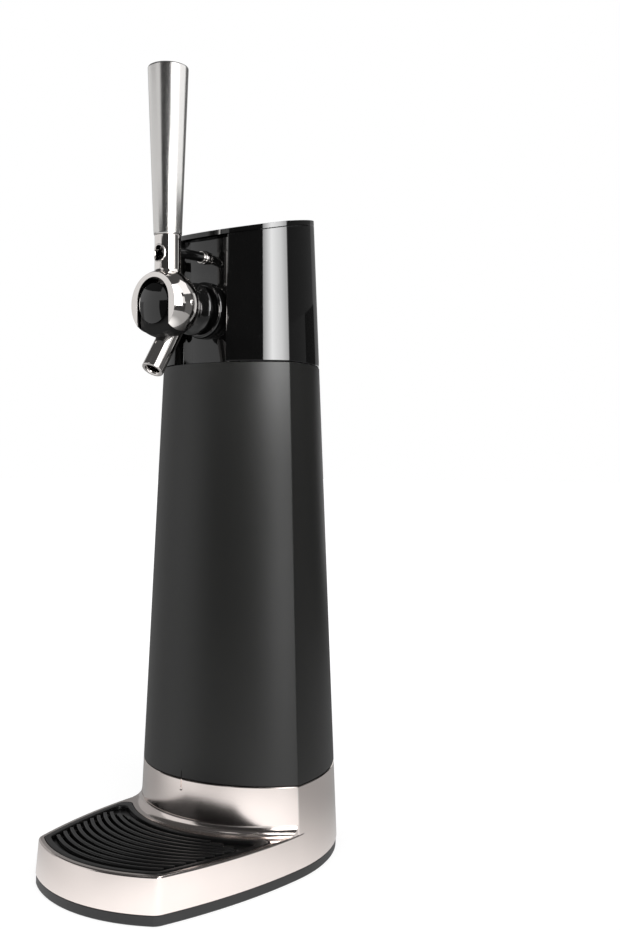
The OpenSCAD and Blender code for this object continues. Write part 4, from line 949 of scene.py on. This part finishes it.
bush = lathe("bush", eased([
    (ROD_RADIUS + FIT, bush_face), (BUSH_RADIUS, bush_face),
    (BUSH_RADIUS, bush_face + (1 - SHOULDER_SHARE) * half_bush),
    (BUSH_RADIUS - WAIST_DEPTH, bush_face + (1 - WAIST_SHARE) * half_bush),
    (BUSH_RADIUS - WAIST_DEPTH, bush_face + (1 + WAIST_SHARE) * half_bush),
    (BUSH_RADIUS, bush_face + (1 + SHOULDER_SHARE) * half_bush), (BUSH_RADIUS, bush_end),
    (ROD_RADIUS + FIT, bush_end)], BUSH_EASE, True), BALL_AT + ROD_RISE * UP, INWARD)
fit_piece(bush, chrome, "tower", "rod_bush")


# Return spring
# A coil of plain steel wire sits on the push rod between its bush and the magnet, and shortens as the
# handle is pulled.
SPRING_ROOM, SPRING_TURNS, SPRING_WIRE, SPRING_LEAST = 0.015, 4, 0.0008, 0.18
SPRING_RADIUS = ROD_RADIUS + 0.001
TURN_STEPS, WIRE_SIDES = 36, 8
spring_from, spring_to = bush_end + SPRING_WIRE, bush_end + SPRING_ROOM - SPRING_WIRE
wire_turns = [2 * math.pi * k / WIRE_SIDES for k in range(WIRE_SIDES)]
spring_rings = []
for i in range(SPRING_TURNS * TURN_STEPS + 1):
    turn = 2 * math.pi * i / TURN_STEPS
    far = spring_from + (spring_to - spring_from) * i / (SPRING_TURNS * TURN_STEPS)
    ring = []
    for t in wire_turns:
        r = SPRING_RADIUS + SPRING_WIRE / 2 * math.cos(t)
        y = far + SPRING_WIRE / 2 * math.sin(t)
        ring.append(BALL_AT + Vector((r * math.cos(turn), y, r * math.sin(turn) + ROD_RISE)))
    spring_rings.append(ring)
coil = skin("spring_coil", spring_rings)
fit_piece(coil, zinc, "tower", "return_spring", ROUND_ANGLE)
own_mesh(coil)


# Tap lever
# The chrome yoke is a cast ball with a flat face and a slot open below, and a turned neck with a hole
# for the push rod. Two pins carry it on the core.
BALL_RADIUS, BALL_FACE, BALL_STEPS, BALL_SIDES = 0.0214, 0.0102, 40, 128
NECK_BACK, NECK_RADIUS, NECK_TOP, NECK_BORE = 0.00235, 0.008, 0.0426, 0.0047
NECK_ROOT, NECK_EASE = 0.0016, 0.0004
OPENING_RADIUS, OPENING_UP, OPENING_DOWN = 0.0135, 0.0024, 0.022
BORE_LOW = ROD_RISE - 0.007
HOLE_AT, HOLE_HEIGHT, HOLE_RADIUS = ROD_RISE - 0.0027, 0.0102, 0.0043
ROD_SLOT_AT, ROD_SLOT_HEIGHT, ROD_SLOT_RADIUS = ROD_RISE + 0.0011, 0.012, 0.0035
PIN_RADIUS, PIN_FROM, PIN_DOME, PIN_EASE = 0.002, 0.007, 0.0005, 0.0005
YOKE_EDGE, HOLE_BEAD, BEAD_SIDES = 0.00035, 0.0005, 12
SLOT_STEPS = 24
THROUGH = 0.05
PIVOT_AT = BALL_AT + NECK_BACK * INWARD


def slot_outline(radius, high, low):
    """An upright slot with round ends, as pairs of side and height."""
    turns = [math.pi * i / SLOT_STEPS for i in range(SLOT_STEPS + 1)]
    return ([(radius * math.cos(t), high + radius * math.sin(t)) for t in turns]
            + [(-radius * math.cos(t), low - radius * math.sin(t)) for t in turns])


def slot_cut(name, radius, high, low, near, far):
    """The same slot as a block along the depth of the tap, to cut with."""
    outline = slot_outline(radius, high, low)
    return skin(name, [[Vector((x, y, z)) + PIVOT_AT for x, z in outline] for y in (near, far)])


face_radius = math.sqrt(BALL_RADIUS ** 2 - BALL_FACE ** 2)
face_turn = math.atan2(face_radius, -BALL_FACE)
ball_turns = [face_turn * (1 - i / BALL_STEPS) for i in range(BALL_STEPS + 1)]
ball_profile = [(max(BALL_RADIUS * math.sin(t), 0), BALL_RADIUS * math.cos(t)) for t in ball_turns]
yoke = lathe("yoke", [(0, -BALL_FACE)] + ball_profile, BALL_AT, INWARD, BALL_SIDES)
root_radius, root_low = NECK_RADIUS + NECK_ROOT, BALL_RADIUS - 2 * NECK_ROOT
neck = lathe("neck", [(0, 0), (root_radius, 0), (root_radius, root_low)] + eased([
    (root_radius, root_low), (NECK_RADIUS + NECK_ROOT / 3, BALL_RADIUS - NECK_ROOT),
    (NECK_RADIUS, BALL_RADIUS), (NECK_RADIUS, NECK_TOP), (0, NECK_TOP)], NECK_EASE), PIVOT_AT, UP)
join(yoke, neck)
opening = slot_cut("opening", OPENING_RADIUS, OPENING_UP, -OPENING_DOWN, -THROUGH, THROUGH)
cut(yoke, opening)
cut(yoke, drill("neck bore", NECK_BORE, BORE_LOW, NECK_TOP + CLEAR, PIVOT_AT, UP))
for name, at, height, radius, near, far in (
        ("front hole", HOLE_AT, HOLE_HEIGHT, HOLE_RADIUS, -2 * CLEAR, 0),
        ("rod slot", ROD_SLOT_AT, ROD_SLOT_HEIGHT, ROD_SLOT_RADIUS, 0, 2 * CLEAR)):
    straight = height / 2 - radius
    cut(yoke, slot_cut(name, radius, at + straight, at - straight, near, far))
cut(yoke, drill("pin hole", PIN_RADIUS + FIT, -THROUGH, THROUGH, PIVOT_AT, (1, 0, 0), FINE_SIDES))
round_edges(yoke, YOKE_EDGE)
fit_piece(yoke, chrome, "lever", "lever_yoke")
straight = HOLE_HEIGHT / 2 - HOLE_RADIUS
hole_edge = [PIVOT_AT + Vector((x, -math.sqrt(NECK_RADIUS ** 2 - x * x), z))
             for x, z in slot_outline(HOLE_RADIUS, HOLE_AT + straight, HOLE_AT - straight)]
bead_turns = [2 * math.pi * k / BEAD_SIDES for k in range(BEAD_SIDES)]
bead_rings = []
for i, here in enumerate(hole_edge):
    along = (hole_edge[(i + 1) % len(hole_edge)] - hole_edge[i - 1]).normalized()
    out = Vector((here.x, here.y - PIVOT_AT.y, 0)).normalized()
    aside = along.cross(out).normalized()
    bead_rings.append([here + HOLE_BEAD * (math.cos(t) * out + math.sin(t) * aside) for t in bead_turns])
hole_rim = skin("hole_rim", bead_rings, loop=True)
fit_piece(hole_rim, chrome, "lever", "lever_yoke", ROUND_ANGLE)
pin_end = math.sqrt(BALL_RADIUS ** 2 - NECK_BACK ** 2)
for name, side in (("pin_right", 1), ("pin_left", -1)):
    pin = lathe(name, eased([
        (0, PIN_FROM), (PIN_RADIUS, PIN_FROM), (PIN_RADIUS, pin_end), (PIN_RADIUS / 2, pin_end + PIN_DOME),
        (0, pin_end + PIN_DOME)], PIN_EASE), PIVOT_AT, (side, 0, 0), SLIM_SIDES)
    fit_piece(pin, chrome, "lever", "pivot_pins")


# Tap handle
# A tall tapered handle, turned in aluminium, brushed along its length and clear-anodised. A threaded
# stud joins it to the neck.
HANDLE_LENGTH, HANDLE_LOW, HANDLE_HIGH = 0.103, 0.0086, 0.0125
HANDLE_EDGE, HANDLE_DOME, HANDLE_SHOULDER = 0.0012, 0.0008, 0.75
BRUSHING = (1, 1, 0.02)

handle_silver = moulded("satin aluminium", (0.70, 0.685, 0.67), 0.22, 0.0008, 0.000003, 0.03, metallic=1.0,
                        stretch=BRUSHING)
handle = lathe("handle", eased([
    (0, 0), (HANDLE_LOW, 0), (HANDLE_HIGH, HANDLE_LENGTH),
    (HANDLE_HIGH / 2, HANDLE_LENGTH + HANDLE_SHOULDER * HANDLE_DOME), (0, HANDLE_LENGTH + HANDLE_DOME)],
    HANDLE_EDGE), PIVOT_AT + NECK_TOP * UP, UP)
fit_piece(handle, handle_silver, "lever", "tap_handle")


# Works inside the head
# The air pump and the control board stand on the bulkhead, and two cells lie in a moulded holder on
# shelves of the head. The sensor sits under the rod and the ceramic foam maker round the beer line.
dress(inner_plastic, "pump_head")
dress(moulded("circuit board", (0.02, 0.12, 0.05), 0.4, 0.0009, 0.00002, 0.3), "control_board", "rod_sensor")
dress(moulded("ceramic", (0.62, 0.58, 0.46), 0.5, 0.0008, 0.00002), "foam_transducer")
dress(moulded("cell wrap", (0.10, 0.10, 0.11), 0.3, 0.002, 0.00001), "batteries")
